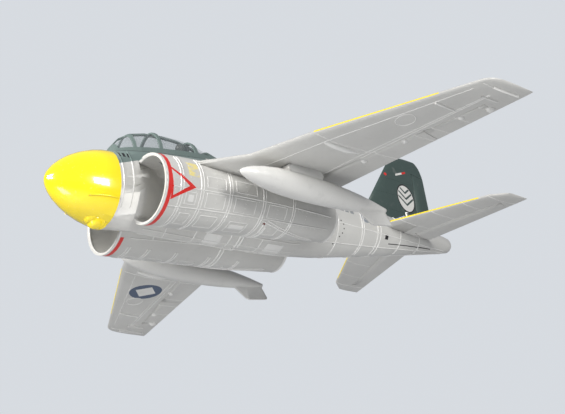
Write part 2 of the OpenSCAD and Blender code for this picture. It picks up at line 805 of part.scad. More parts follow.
module wing_servo_solid(grow = 0) {
    at_hinge(wing_p, wing_q, UP) for (k = [aileron_link, flap_link]) {
        servo_body(k[0], k[1], k[2], grow);
        if (grow > 0) arm_slot(k[0], k[1], k[2]);
    }
}

spar_share = 0.3;
function spar_pt(x) = [x, mix(le(x), te(x), spar_share), mid_z(x)];
spar_p = [wing_root_x + 15, mix(le(110), te(110), spar_share) - 12, mid_z(wing_root_x + 15)];
spar_q = spar_pt(0.53 * half_span);

module spar(r, extra) {
    at_hinge(spar_p, spar_q, UP) barrel(-extra, norm(spar_q - spar_p) + extra / 60, r);
}

module wing(side) {
    color(WHITE) on_side(side) difference() {
        wing_solid();
        airframe_solid(seat);
        hinge_cut(wing_p, wing_q, UP, 0, hinge_span);
        wing_servo_solid(seat);
        spar(spar_d / 2 + 0.02, 30);
    }
}

module wing_spars() {
    color(DARK) for (side = [1, -1]) {
        on_side(side) difference() {
            spar(spar_d / 2, 0);
            spar(spar_d / 2 - 1, 60);
        }
    }
}

module aileron(side) {
    color(WHITE) on_side(side)
        control(wing_p, wing_q, UP, divide_s + end_gap, hinge_span - EPS, aileron_bevel, aileron_link[0], 12)
        wing_solid();
}

module flap(side) {
    color(WHITE) on_side(side)
        control(wing_p, wing_q, UP, EPS, divide_s - end_gap, flap_bevel, flap_link[0], 14)
        wing_solid();
}

module wing_hinge_wires() {
    color(STEEL) for (side = [1, -1]) {
        on_side(side) hinge_wire(wing_p, wing_q, UP, 0, hinge_span);
    }
}

module wing_servos() {
    color([0.15, 0.25, 0.55]) for (side = [1, -1], k = [aileron_link, flap_link]) {
        on_side(side) at_hinge(wing_p, wing_q, UP) servo_unit(k[0], k[1], k[2]);
    }
}

module wing_arm(side, k) {
    color(NYLON) on_side(side) at_hinge(wing_p, wing_q, UP) arm_unit(k[0], k[1], k[2]);
}

module wing_rod(side, k) {
    color(STEEL) on_side(side) at_hinge(wing_p, wing_q, UP) rod_unit(k[0], k[1], k[2]);
}

// ---- Drop tanks ----
tank_nose = nose_y + 160;
pylon_y0 = tank_nose + 58;
pylon_len = 50;
pylon_w = 22;
tank_fin_t = 2.4;

function tank_profile(u) = tank_r * (u < 0.36 ? pow(1 - pow(1 - u / 0.36, 2.1), 0.62)
    : 1 - 0.82 * pow((u - 0.36) / 0.64, 2.3));

module tank_body(grow = 0) {
    us = [0, 0.004, 0.015, 0.04, 0.08, 0.14, 0.22, 0.3, 0.4, 0.5, 0.6, 0.7, 0.8, 0.9, 1];
    translate([tank_x, tank_nose, tank_z]) rotate([-90, 0, 0]) rotate_extrude($fn = 64)
        polygon(concat([[0, 0]], [for (u = us) if (u > 0) [tank_profile(u) + grow, u * tank_len]],
            [[0, tank_len]]));
}

module tank(side) {
    color(WHITE) on_side(side) {
        tank_body();
        translate([tank_x - tank_fin_t / 2, tank_nose + tank_len, tank_z]) rotate([90, 0, 90])
            linear_extrude(tank_fin_t)
            polygon([[-52, -4], [-27, -21.5], [-22, -22.5], [5, -18], [6, -16], [-3, 0]]);
    }
}

module tank_pylons() {
    color(WHITE) for (side = [1, -1]) {
        on_side(side) difference() {
            translate([tank_x - pylon_w / 2, pylon_y0, tank_z]) rotate([90, 0, 90]) linear_extrude(pylon_w)
                polygon([[5, 6], [0, 14], [5, 30], [pylon_len - 12, 30], [pylon_len, 14],
                    [pylon_len - 4, 6]]);
            wing_solid(seat);
            translate([tank_x - pylon_w, pylon_y0 - 1, mid_z(tank_x)])
                cube([2 * pylon_w, pylon_len + 2, BIG]);
            tank_body(seat);
        }
    }
}

// ---- Fin and rudder ----
FIN_LE = [[96, tail_y - 170], [112, tail_y - 158], [fin_top - 20, tail_y - 99], [fin_top - 13, tail_y - 93],
    [fin_top - 8, tail_y - 87], [fin_top - 4, tail_y - 80], [fin_top - 1.5, tail_y - 73],
    [fin_top, tail_y - 65]];
fin_te_y = tail_y - 27.5;
fin_root_t = 7.5;
fin_tip_t = 4;
fin_zs = [96, 112, 150, fin_top - 26, fin_top - 20, fin_top - 13, fin_top - 8, fin_top - 4,
    fin_top - 1.5, fin_top];

function fin_te(z) = fin_te_y - 17 * (1 - sqrt(max(0, 1 - pow(max(0, (z - fin_top + 30) / 31), 2))));
function fin_thick(z) = mix(fin_root_t, fin_tip_t, (z - 96) / (fin_top - 96));

module fin_solid() {
    loft([for (z = fin_zs) [for (p = section(line(FIN_LE, z), fin_te(z), fin_thick(z),
        z > fin_top - 9 ? sqrt(max(0.04, 1 - pow((z - fin_top + 9) / 9, 2))) : 1)) [p[1], p[0], z]]], true);
}

fin_p = [0, tail_y - 57, 116];
fin_q = [0, tail_y - 50, fin_top - 22];
fin_span = norm(fin_q - fin_p);
OUT = [-1, 0, 0];
rudder_link = [14, 40, 1.5];
rudder_bevel = 32;

module fin() {
    color(SLATE) difference() {
        fin_solid();
        airframe_solid(seat);
        hinge_cut(fin_p, fin_q, OUT, 0, fin_span);
        at_hinge(fin_p, fin_q, OUT) {
            servo_body(rudder_link[0], rudder_link[1], rudder_link[2], seat);
            arm_slot(rudder_link[0], rudder_link[1], rudder_link[2]);
        }
    }
}

module rudder() {
    color(SLATE)
        control(fin_p, fin_q, OUT, EPS, fin_span - EPS, rudder_bevel, rudder_link[0], 10) fin_solid();
}

// ---- Stabilisers and elevators ----
stab_in = 12;
stab_le = [[stab_in, tail_y - 160], [stab_half - 16, tail_y - 83], [stab_half, tail_y - 62]];
stab_te0 = tail_y - 58.5;
stab_te1 = tail_y - 28;
stab_t = 7;
stab_tip_t = 4.2;
stab_xs = [stab_in, 60, 110, stab_half - 16, stab_half - 9, stab_half - 4, stab_half - 1, stab_half];

function stab_k(x) = x > stab_half - 6 ? sqrt(max(0.04, 1 - pow((x - stab_half + 6) / 6, 2))) : 1;
function stab_te(x) = mix(stab_te0, stab_te1, (x - stab_in) / (stab_half - stab_in));
function stab_thick(x) = mix(stab_t, stab_tip_t, (x - stab_in) / (stab_half - stab_in));

module stab_solid() {
    loft([for (x = stab_xs) [for (p = section(line(stab_le, x), stab_te(x), stab_thick(x), stab_k(x)))
        [x, p[0], stab_z + p[1]]]]);
}

stab_p = [25, tail_y - 93, stab_z];
stab_q = [stab_half - 21.5, tail_y - 54.5, stab_z];
stab_span = norm(stab_q - stab_p);
elevator_link = [4, 30, 5.4];
elevator_bevel = 30;

module stabiliser(side) {
    color(WHITE) on_side(side) difference() {
        stab_solid();
        airframe_solid(seat);
        hinge_cut(stab_p, stab_q, UP, 0, stab_span);
        tail_servo_solid(seat);
    }
}

module elevator(side) {
    color(WHITE) on_side(side)
        control(stab_p, stab_q, UP, EPS, stab_span - EPS, elevator_bevel, elevator_link[0], 11) difference() {
            stab_solid();
            body_solid(-1.2);
        }
}

module tail_servo_solid(grow = 0) {
    at_hinge(stab_p, stab_q, UP) {
        servo_body(elevator_link[0], elevator_link[1], elevator_link[2], grow);
        if (grow > 0) arm_slot(elevator_link[0], elevator_link[1], elevator_link[2]);
    }
}

module tail_servos() {
    color([0.15, 0.25, 0.55]) {
        for (side = [1, -1]) {
            on_side(side) at_hinge(stab_p, stab_q, UP)
                servo_unit(elevator_link[0], elevator_link[1], elevator_link[2]);
        }
        at_hinge(fin_p, fin_q, OUT) servo_unit(rudder_link[0], rudder_link[1], rudder_link[2]);
    }
}

module tail_hinge_wires() {
    color(STEEL) {
        for (side = [1, -1]) {
            on_side(side) hinge_wire(stab_p, stab_q, UP, 0, stab_span);
        }
        hinge_wire(fin_p, fin_q, OUT, 0, fin_span);
    }
}

module rudder_arm() {
    color(NYLON) at_hinge(fin_p, fin_q, OUT) arm_unit(rudder_link[0], rudder_link[1], rudder_link[2]);
}

module rudder_rod() {
    color(STEEL) at_hinge(fin_p, fin_q, OUT) rod_unit(rudder_link[0], rudder_link[1], rudder_link[2]);
}

module elevator_arm(side) {
    color(NYLON) on_side(side) at_hinge(stab_p, stab_q, UP)
        arm_unit(elevator_link[0], elevator_link[1], elevator_link[2]);
}

module elevator_rod(side) {
    color(STEEL) on_side(side) at_hinge(stab_p, stab_q, UP)
        rod_unit(elevator_link[0], elevator_link[1], elevator_link[2]);
}

fuselage_half(1);  // fuselage_port
fuselage_half(-1);  // fuselage_starboard
radome();
turret();
canopy_frame();
canopy_glazing();
cockpit_tub();
crew_seats();
crew_figures();
hatch_keepers();
hatch_magnets();
battery();
battery_strap();
equipment_tray();
receiver();
speed_controllers();
fan_housing(1);  // fan_housing_port
fan_housing(-1);  // fan_housing_starboard
fan_rotor(1);  // fan_rotor_port
fan_rotor(-1);  // fan_rotor_starboard
fan_motors();
intake_duct(1);  // intake_duct_port
intake_duct(-1);  // intake_duct_starboard
thrust_tube(1);  // thrust_tube_port
thrust_tube(-1);  // thrust_tube_starboard
exhaust_rings();
wing(1);  // wing_port
wing(-1);  // wing_starboard
wing_spars();
aileron(1);  // aileron_port
aileron(-1);  // aileron_starboard
flap(1);  // flap_port
flap(-1);  // flap_starboard
wing_hinge_wires();
wing_servos();
wing_arm(1, aileron_link);  // aileron_arm_port
wing_arm(-1, aileron_link);  // aileron_arm_starboard
wing_arm(1, flap_link);  // flap_arm_port
wing_arm(-1, flap_link);  // flap_arm_starboard
wing_rod(1, aileron_link);  // aileron_rod_port
wing_rod(-1, aileron_link);  // aileron_rod_starboard
wing_rod(1, flap_link);  // flap_rod_port
wing_rod(-1, flap_link);  // flap_rod_starboard
tank_pylons();
tank(1);  // tank_port
tank(-1);  // tank_starboard
fin();
rudder();
tail_hinge_wires();
tail_servos();
rudder_arm();
rudder_rod();
stabiliser(1);  // stabiliser_port
stabiliser(-1);  // stabiliser_starboard
elevator(1);  // elevator_port
elevator(-1);  // elevator_starboard
elevator_arm(1);  // elevator_arm_port
elevator_arm(-1);  // elevator_arm_starboard
elevator_rod(1);  // elevator_rod_port
elevator_rod(-1);  // elevator_rod_starboard
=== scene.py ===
"""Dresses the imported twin-fan model jet: painted skins, raised lines, markings, glass and metal."""

import json
import logging
import math
from dataclasses import dataclass
from enum import Enum
from typing import Callable, Iterable, Sequence

import bmesh
import bpy
from mathutils import Matrix, Vector
from mathutils.bvhtree import BVHTree

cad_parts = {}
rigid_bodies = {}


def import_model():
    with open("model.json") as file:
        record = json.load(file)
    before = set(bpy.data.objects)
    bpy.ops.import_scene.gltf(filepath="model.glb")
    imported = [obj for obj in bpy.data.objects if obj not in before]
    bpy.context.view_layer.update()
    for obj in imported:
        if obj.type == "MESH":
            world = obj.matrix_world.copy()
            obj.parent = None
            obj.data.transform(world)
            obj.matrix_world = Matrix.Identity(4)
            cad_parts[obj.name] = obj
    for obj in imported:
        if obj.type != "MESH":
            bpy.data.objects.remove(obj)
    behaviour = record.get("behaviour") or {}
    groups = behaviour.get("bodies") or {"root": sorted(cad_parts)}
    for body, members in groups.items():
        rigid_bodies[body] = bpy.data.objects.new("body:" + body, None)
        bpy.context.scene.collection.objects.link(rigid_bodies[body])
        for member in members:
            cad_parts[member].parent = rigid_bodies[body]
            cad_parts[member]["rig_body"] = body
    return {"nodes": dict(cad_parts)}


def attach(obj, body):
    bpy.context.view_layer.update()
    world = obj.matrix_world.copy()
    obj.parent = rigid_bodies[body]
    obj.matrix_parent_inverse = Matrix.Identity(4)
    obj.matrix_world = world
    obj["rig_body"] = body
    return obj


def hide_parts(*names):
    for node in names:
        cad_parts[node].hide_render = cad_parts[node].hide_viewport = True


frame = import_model()
LOG = logging.getLogger("jet")
MM = 0.001
Ray = tuple[Vector, Vector]
Hit = tuple[Vector, Vector]
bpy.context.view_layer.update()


class Side(Enum):
    """Which half of the aircraft a piece belongs to."""

    PORT = 1
    STARBOARD = -1

    @property
    def word(self) -> str:
        """The side's name as the nodes spell it."""
        return self.name.lower()


# ---- Shader maths ----
class Value:
    """A shader socket, or a number, that Python's operators can work on."""

    def __init__(self, tree: bpy.types.NodeTree, source: object) -> None:
        """Keeps the tree and the socket or number."""
        self.tree = tree
        self.source = source

    def _math(self, operation: str, *others: object, first: object = None) -> "Value":
        """Adds one Math node.

        Args:
            operation: the Math node's operation.
            others: the other inputs.
            first: what stands in the first input, if not this value.

        Returns:
            The node's output.
        """
        node = self.tree.nodes.new("ShaderNodeMath")
        node.operation = operation
        for socket, value in zip(node.inputs, [self if first is None else first, *others]):
            plug(self.tree, socket, value)
        return Value(self.tree, node.outputs[0])

    def __add__(self, other: object) -> "Value":
        """Sum."""
        return self._math("ADD", other)

    __radd__ = __add__

    def __sub__(self, other: object) -> "Value":
        """Difference."""
        return self._math("SUBTRACT", other)

    def __rsub__(self, other: object) -> "Value":
        """Reflected difference."""
        return self._math("SUBTRACT", self, first=other)

    def __mul__(self, other: object) -> "Value":
        """Product."""
        return self._math("MULTIPLY", other)

    __rmul__ = __mul__

    def __truediv__(self, other: object) -> "Value":
        """Quotient."""
        return self._math("DIVIDE", other)

    def __abs__(self) -> "Value":
        """Magnitude."""
        return self._math("ABSOLUTE")

    def below(self, limit: object) -> "Value":
        """1 where the value is under the limit."""
        return self._math("LESS_THAN", limit)

    def above(self, limit: object) -> "Value":
        """1 where the value is over the limit."""
        return self._math("GREATER_THAN", limit)

    def most(self, other: object) -> "Value":
        """The larger of two values."""
        return self._math("MAXIMUM", other)

    def power(self, exponent: float) -> "Value":
        """The value raised to a power."""
        return self._math("POWER", exponent)

    def share(self) -> "Value":
        """What is left of the value past its whole number."""
        return self - self._math("FLOOR")

    def between(self, low: float, high: float) -> "Value":
        """1 where the value lies between two limits."""
        return self.above(low) * self.below(high)


def plug(tree: bpy.types.NodeTree, socket: bpy.types.NodeSocket, value: object) -> None:
    """Links a socket, or sets its number, colour or vector."""
    value = value.source if isinstance(value, Value) else value
    if isinstance(value, bpy.types.NodeSocket):
        tree.links.new(value, socket)
    elif value is not None:
        socket.default_value = value


class Shader:
    """One material under construction."""

    def __init__(self, name: str) -> None:
        """Makes an empty node material."""
        self.material = bpy.data.materials.new(name)
        self.material.use_nodes = True
        self.tree = self.material.node_tree
        self.tree.nodes.clear()
        place = self.node("ShaderNodeTexCoord").outputs["Object"]
        self.place = place
        split = self.node("ShaderNodeSeparateXYZ", {}, Vector=place)
        self.x, self.y, self.z = (Value(self.tree, out) for out in split.outputs)

    def node(self, kind: str, settings: dict | None = None, **inputs: object) -> bpy.types.Node:
        """Adds a node.

        Args:
            kind: the node's type.
            settings: its properties, set first.
            inputs: values or links by socket name, with underscores for spaces.

        Returns:
            The node.
        """
        node = self.tree.nodes.new(kind)
        for key, value in (settings or {}).items():
            setattr(node, key, value)
        for key, value in inputs.items():
            plug(self.tree, node.inputs[key.replace("_", " ")], value)
        return node

    def noise(self, scale: float, detail: float = 3.0) -> Value:
        """Noise over object space, from 0 to 1."""
        made = self.node("ShaderNodeTexNoise", {}, Vector=self.place, Scale=scale, Detail=detail)
        return Value(self.tree, made.outputs[0])

    def beads(self, scale: float) -> Value:
        """Distance to the nearest bead centre, as in moulded foam."""
        made = self.node("ShaderNodeTexVoronoi", {}, Vector=self.place, Scale=scale)
        return Value(self.tree, made.outputs["Distance"])

    def ramp(self, value: Value, low: float, high: float) -> Value:
        """A smooth step from 0 at low to 1 at high."""
        made = self.node("ShaderNodeMapRange", {"interpolation_type": "SMOOTHSTEP"},
                         Value=value, From_Min=low, From_Max=high)
        return Value(self.tree, made.outputs[0])

    def mix(self, mask: object, first: object, second: object) -> bpy.types.NodeSocket:
        """Mixes two colours by a mask."""
        made = self.tree.nodes.new("ShaderNodeMix")
        made.data_type = "RGBA"
        for socket, value in zip((made.inputs[0], made.inputs[6], made.inputs[7]), (mask, first, second)):
            plug(self.tree, socket, value)
        return made.outputs[2]

    def finish(self, colour: object, roughness: object, height: Value | None, depth: float,
               **constants: float) -> bpy.types.Material:
        """Closes the material with a Principled BSDF.

        Args:
            colour: colour or socket.
            roughness: number or value.
            height: bump height, or None.
            depth: bump distance in metres.
            constants: other sockets of the shader.

        Returns:
            The material.
        """
        shader = self.node("ShaderNodeBsdfPrincipled", {}, Base_Color=colour, Roughness=roughness)
        for key, value in constants.items():
            shader.inputs[key.replace("_", " ")].default_value = value
        if height is not None:
            bump = self.node("ShaderNodeBump", {}, Height=height, Distance=depth, Strength=1.0)
            self.tree.links.new(bump.outputs[0], shader.inputs["Normal"])
        out = self.node("ShaderNodeOutputMaterial")
        self.tree.links.new(shader.outputs[0], out.inputs[0])
        return self.material


Rgb = tuple[float, float, float]
Zone = tuple[Callable[["Shader"], Value], Rgb]


def rgba(colour: Rgb) -> tuple[float, float, float, float]:
    """Adds full alpha to a colour."""
    return (*colour, 1.0)


WHITE: Rgb = (0.57, 0.565, 0.54)
CHALK: Rgb = (0.66, 0.655, 0.63)
YELLOW: Rgb = (0.93, 0.72, 0.006)
RED: Rgb = (0.6, 0.02, 0.015)
DECK: Rgb = (0.135, 0.18, 0.17)
SLATE: Rgb = (0.045, 0.073, 0.066)
# Dark reddish brown of the small spot at each nacelle's seam corner.
DARK_RED_BROWN: Rgb = (0.16, 0.03, 0.02)
BLACK: Rgb = (0.012, 0.012, 0.014)
BLUE: Rgb = (0.05, 0.08, 0.14)


@dataclass(frozen=True)
class FoamPaint:
    """Satin paint on moulded bead foam, with colour zones laid over it in order."""

    name: str
    colour: Rgb
    roughness: float = 0.33
    coat: float = 0.25
    pebble: float = 0.00005
    zones: tuple[Zone, ...] = ()

    def build(self) -> bpy.types.Material:
        """Returns the material."""
        s = Shader(self.name)
        broad = s.noise(9.0)
        fine = s.noise(160.0, 4.0)
        scuff = s.ramp(s.noise(55.0, 6.0), 0.62, 0.74)
        dull = tuple(c * 0.86 for c in self.colour)
        colour = s.mix(s.ramp(broad, 0.3, 0.75), rgba(dull), rgba(self.colour))
        for mask, paint in self.zones:
            colour = s.mix(mask(s), colour, rgba(paint))
        colour = s.mix(scuff * 0.16, colour, rgba((0.42, 0.42, 0.4)))
        colour = s.mix(s.ramp(fine, 0.55, 0.8) * 0.1, colour, rgba((0.2, 0.2, 0.19)))
        roughness = broad * 0.12 + scuff * 0.2 + (self.roughness - 0.06)
        height = s.beads(420.0) * 0.7 + fine * 0.5
        return s.finish(colour, roughness, height, self.pebble, Coat_Weight=self.coat, Coat_Roughness=0.12)


@dataclass(frozen=True)
class GlossPaint:
    """Wet-looking gloss paint with a faint orange peel and fine dust."""

    name: str
    colour: Rgb
    roughness: float = 0.16

    def build(self) -> bpy.types.Material:
        """Returns the material."""
        s = Shader(self.name)
        broad = s.noise(14.0)
        dust = s.ramp(s.noise(300.0, 5.0), 0.6, 0.78)
        colour = s.mix(s.ramp(broad, 0.3, 0.8), rgba(tuple(c * 0.9 for c in self.colour)), rgba(self.colour))
        colour = s.mix(dust * 0.08, colour, rgba((0.5, 0.48, 0.42)))
        roughness = dust * 0.2 + broad * 0.06 + self.roughness
        return s.finish(colour, roughness, s.noise(220.0) + s.beads(380.0) * 0.4, 0.00004,
                        Coat_Weight=0.9, Coat_Roughness=0.05)


@dataclass(frozen=True)
class Plastic:
    """Moulded plastic with slight mottling and wear."""

    name: str
    colour: Rgb
    roughness: float = 0.4
    metallic: float = 0.0

    def build(self) -> bpy.types.Material:
        """Returns the material."""
        s = Shader(self.name)
        grain = s.noise(700.0, 4.0)
        wear = s.ramp(s.noise(90.0, 5.0), 0.58, 0.75)
        lighter = tuple(min(1.0, c * 1.5 + 0.02) for c in self.colour)
        colour = s.mix(wear * 0.35, rgba(self.colour), rgba(lighter))
        return s.finish(colour, grain * 0.15 + wear * 0.1 + (self.roughness - 0.08), grain, 0.00003,
                        Metallic=self.metallic)


@dataclass(frozen=True)
class ClearSheet:
    """Thin clear moulding with a smoke tint and fine scratches."""

    name: str

    def build(self) -> bpy.types.Material:
        """Returns the material."""
        s = Shader(self.name)
        scratch = s.ramp(s.noise(420.0, 6.0), 0.62, 0.8)
        colour = s.mix(scratch * 0.5, rgba((0.3, 0.35, 0.36)), rgba((0.6, 0.64, 0.65)))
        made = s.finish(colour, scratch * 0.25 + 0.04, None, 0.0, Coat_Weight=0.6, Coat_Roughness=0.03,
                        Alpha=0.18)
        made.surface_render_method = "BLENDED"
        return made


@dataclass(frozen=True)
class PlyWood:
    """Thin birch ply with grain along the aircraft."""

    name: str

    def build(self) -> bpy.types.Material:
        """Returns the material."""
        s = Shader(self.name)
        long_place = s.node("ShaderNodeMapping", {}, Vector=s.place)
        long_place.inputs["Scale"].default_value = (600.0, 25.0, 600.0)
        grain = Value(s.tree, s.node("ShaderNodeTexNoise", {}, Vector=long_place.outputs[0], Scale=1.0,
                                     Detail=5.0).outputs[0])
        colour = s.mix(s.ramp(grain, 0.35, 0.7), rgba((0.3, 0.17, 0.08)), rgba((0.62, 0.44, 0.25)))
        return s.finish(colour, grain * 0.2 + 0.5, grain, 0.0001)


# ---- Markings, as masks over object space ----
def mm(value: float) -> float:
    """Millimetres to metres."""
    return value * MM


@dataclass(frozen=True)
class Markings:
    """Where the painted zones lie, in millimetres in the aircraft's frame."""

    intake_y: float = -212.0
    deck_edge: float = 75.2
    band: tuple[float, float] = (3.2, 7.8)
    chevron: tuple[tuple[float, float], ...] = ((-207.5, 50.0), (-203.5, 14.5), (-174.5, 31.0))
    patch: tuple[float, float, float, float] = (-183.0, -170.0, 43.0, 61.0)

    def outside(self, s: Shader) -> Value:
        """1 on the outer face of the nacelles' front, 0 in the ducts and on the nose between them."""
        across = (abs(s.x) - mm(40.2)) / mm(36.5)
        upward = (s.z - mm(38.9)) / mm(38.5)
        return (across * across + upward * upward).above(0.935)

    def green_deck(self, s: Shader) -> Value:
        """The dark deck between the cockpit rail and the white flanks, back to the wing root's start."""
        edge = s.noise(260.0) * mm(0.25) + mm(self.deck_edge)
        rise = (s.y + mm(212)).most(0.0) * 0.05
        dip = (mm(-214.0) - s.y).most(0.0) * 0.42
        nearer = abs(s.x).below(mm(37.5))
        return s.z.above(edge + rise - dip) * nearer * s.y.below(mm(-118.0))

    def intake_band(self, s: Shader) -> Value:
        """Red band round each intake, just behind its lip."""
        from_lip = s.y - mm(self.intake_y)
        return from_lip.between(mm(self.band[0]), mm(self.band[1])) * self.outside(s) \
            * (1.0 - self.green_deck(s)) * abs(s.x).above(mm(17.0)) * s.z.below(mm(76.8))

    def chevron_lines(self, s: Shader) -> Value:
        """Open red triangle on the outer flank of each nacelle."""
        far = None
        points = self.chevron
        for (y0, z0), (y1, z1) in zip(points, points[1:] + points[:1]):
            length = math.hypot(y1 - y0, z1 - z0)
            side = (s.y - mm(y0)) * ((z1 - z0) / length) - (s.z - mm(z0)) * ((y1 - y0) / length)
            far = side if far is None else far.most(side)
        thick = (s.y + mm(212.0)) * 0.045 + mm(0.75)
        return abs(far + thick).below(thick) * abs(s.x).above(mm(55.0)) * self.outside(s)

    def faded_patch(self, s: Shader) -> Value:
        """Small worn yellow panel beside the triangle."""
        y0, y1, z0, z1 = self.patch
        worn = s.ramp(s.noise(130.0, 4.0), 0.36, 0.52)
        return s.y.between(mm(y0), mm(y1)) * s.z.between(mm(z0), mm(z1)) * abs(s.x).above(mm(55.0)) \
            * self.outside(s) * worn * 0.5

    def rail_dashes(self, s: Shader) -> Value:
        """Three plain dark dashes under the cockpit rail."""
        along = (s.y + mm(236.0)) / mm(5.2)
        return along.between(0.0, 3.0) * along.share().between(0.16, 0.72) \
            * s.z.between(mm(77.0), mm(83.5))

    def seam_spot(self, s: Shader) -> Value:
        """Small dark reddish-brown spot at the corner of each nacelle's lower seam."""
        far = (abs(s.x) - mm(59.0)).power(2.0) + (s.y + mm(75.0)).power(2.0)
        return far.below(mm(1.9) ** 2) * s.z.below(mm(30.0))

    def tail_bars(self, s: Shader) -> Value:
        """Plain grey bars on the aft flank."""
        along = (s.y - mm(58.0)) / mm(9.0)
        return along.between(0.0, 5.0) * along.share().between(0.1, 0.8) \
            * s.z.between(mm(84.0), mm(90.5)) * 0.75

    def tail_disc(self, s: Shader) -> Value:
        """Pale ring on the aft flank."""
        apart = ((s.y - mm(122.0)).power(2.0) + (s.z - mm(86.0)).power(2.0)).power(0.5)
        return apart.between(mm(4.2), mm(8.4)) * 0.8

    def wing_disc(self, s: Shader) -> Value:
        """Plain disc under the starboard wing."""
        apart = ((s.x + mm(219.0)).power(2.0) + (s.y + mm(41.0)).power(2.0)).power(0.5)
        return apart.below(mm(21.0)) * s.z.below(mm(60.5))

    def wing_diamond(self, s: Shader) -> Value:
        """Pale diamond on that disc."""
        apart = abs(s.x + mm(219.0)) + abs(s.y + mm(41.0))
        return apart.below(mm(15.0)) * s.z.below(mm(60.5))

    def fin_spot(self, s: Shader) -> Value:
        """Small red spot near the top of the fin's leading edge."""
        return ((s.y - mm(203.0)).power(2.0) + (s.z - mm(180.0)).power(2.0)).below(mm(2.3) ** 2)

    def fin_oval(self, s: Shader, low: float, high: float) -> Value:
        """A ring of the oval badge on both faces of the fin."""
        apart = (((s.y - mm(234.0)) / 0.78).power(2.0) + (s.z - mm(149.5)).power(2.0)).power(0.5)
        return apart.between(mm(low), mm(high))

    def fin_chevrons(self, s: Shader) -> Value:
        """Plain chevrons inside the badge."""
        bent = s.z - mm(149.0) - abs(s.y - mm(234.0)) * 0.8
        part = (bent / mm(9.0)) + 0.5
        inside = self.fin_oval(s, -1.0, 18.5)
        return inside * part.share().between(0.3, 0.66) * abs(bent).below(mm(13.0))

    def fin_dash(self, s: Shader) -> Value:
        """White dash near the fin's top."""
        return abs(s.z - mm(187.0) - (s.y - mm(232.0)) * 0.4).below(mm(1.5)) \
            * s.y.between(mm(222.0), mm(243.0))

    def fin_dash_tip(self, s: Shader) -> Value:
        """Red end of the dash."""
        return self.fin_dash(s) * s.y.above(mm(235.0))


def leading_stripe(points: Sequence[tuple[float, float]], width: float, span: tuple[float, float],
                   middle: tuple[float, float]) -> Callable[[Shader], Value]:
    """Mask for a stripe along the upper side of a leading edge.

    Args:
        points: (x, y) of the edge, from root to tip, in millimetres.
        width: stripe width behind the edge.
        span: where the stripe starts and ends.
        middle: height of the surface's middle plane at the root, and its fall per unit of span.

    Returns:
        The mask's function.
    """
    def mask(s: Shader) -> Value:
        """Distance behind the edge, compared with the width."""
        out = None
        across = abs(s.x)
        for (x0, y0), (x1, y1) in zip(points, points[1:]):
            line = s.y - mm(y0) - (across - mm(x0)) * ((y1 - y0) / (x1 - x0))
            here = line.below(mm(width)) * across.between(mm(x0), mm(x1 + 0.01))
            out = here if out is None else out + here
        upper = s.z.above(across * -middle[1] + mm(middle[0]))
        return out * upper * across.between(mm(span[0]), mm(span[1]))
    return mask


MARKS = Markings()
WING_EDGE = ((62.0, -176.0), (85.0, -153.0), (110.0, -128.8), (181.3, -100.8), (350.0, -18.0))
STAB_EDGE = ((12.0, 146.0), (141.0, 223.0), (157.0, 244.0))


class Finish(Enum):
    """Every finish on the aircraft."""

    SKIN = FoamPaint("flank_paint", WHITE, zones=(
        (MARKS.green_deck, DECK), (MARKS.intake_band, RED), (MARKS.chevron_lines, RED),
        (MARKS.faded_patch, YELLOW), (MARKS.rail_dashes, BLACK), (MARKS.tail_bars, (0.16, 0.18, 0.2)),
        (MARKS.tail_disc, (0.2, 0.23, 0.27)), (MARKS.seam_spot, DARK_RED_BROWN)))
    WING = FoamPaint("wing_paint", WHITE, zones=(
        (leading_stripe(WING_EDGE, 6.0, (181.0, 300.0), (67.3, 0.032)), YELLOW),
        (MARKS.wing_disc, BLUE), (MARKS.wing_diamond, CHALK)))
    TAIL = FoamPaint("tail_paint", WHITE, zones=(
        (leading_stripe(STAB_EDGE, 6.0, (20.0, 130.0), (84.6, 0.0)), YELLOW),))
    TANK = FoamPaint("tank_paint", CHALK)
    # Raised lines, plates, fasteners and fairings: the skin's own foam paint made lighter, a painted
    # highlight where they stand proud; the deck, band and triangle still lie over it.
    RIDGE = FoamPaint("ridge_paint", (0.75, 0.745, 0.72), roughness=0.25, coat=0.4, zones=(
        (MARKS.green_deck, DECK), (MARKS.intake_band, RED), (MARKS.chevron_lines, RED)))
    LIP = FoamPaint("lip_paint", (0.78, 0.775, 0.75), roughness=0.24, coat=0.5)
    DECK_PAINT = FoamPaint("deck_paint", DECK, roughness=0.42, coat=0.1)
    FIN = FoamPaint("fin_paint", SLATE, roughness=0.4, coat=0.1, zones=(
        (lambda s: MARKS.fin_oval(s, -1.0, 21.5), BLACK),
        (lambda s: MARKS.fin_oval(s, -1.0, 19.5), CHALK),
        (MARKS.fin_chevrons, SLATE), (MARKS.fin_dash, CHALK), (MARKS.fin_dash_tip, RED),
        (MARKS.fin_spot, RED)))
    NOSE = GlossPaint("nose_paint", YELLOW)
    GLASS = ClearSheet("canopy_sheet")
    INTERIOR = Plastic("cockpit_plastic", BLACK, 0.5)
    CREW = Plastic("crew_plastic", (0.07, 0.07, 0.065), 0.45)
    STEEL = Plastic("wire_steel", (0.55, 0.55, 0.56), 0.28, 1.0)
    WRAP = Plastic("battery_wrap", (0.03, 0.07, 0.25), 0.25)
    STRAP = Plastic("strap_weave", (0.02, 0.02, 0.02), 0.8)
    PLY = PlyWood("tray_ply")
    SHRINK = Plastic("heat_shrink", (0.02, 0.12, 0.05), 0.3)
    ROTOR = Plastic("rotor_plastic", (0.55, 0.57, 0.6), 0.3)
    HOUSING = Plastic("housing_plastic", (0.02, 0.02, 0.022), 0.38)
    CAN = Plastic("turned_metal", (0.5, 0.5, 0.52), 0.3, 1.0)
    LINER = Plastic("duct_liner", (0.66, 0.67, 0.66), 0.35)
    CARBON = Plastic("wound_carbon", (0.015, 0.015, 0.016), 0.25)
    SERVO = Plastic("servo_case", (0.02, 0.05, 0.2), 0.25)
    NYLON = Plastic("nylon", (0.62, 0.62, 0.58), 0.4)

    @property
    def material(self) -> bpy.types.Material:
        """The built material, made once."""
        return bpy.data.materials.get(self.value.name) or self.value.build()


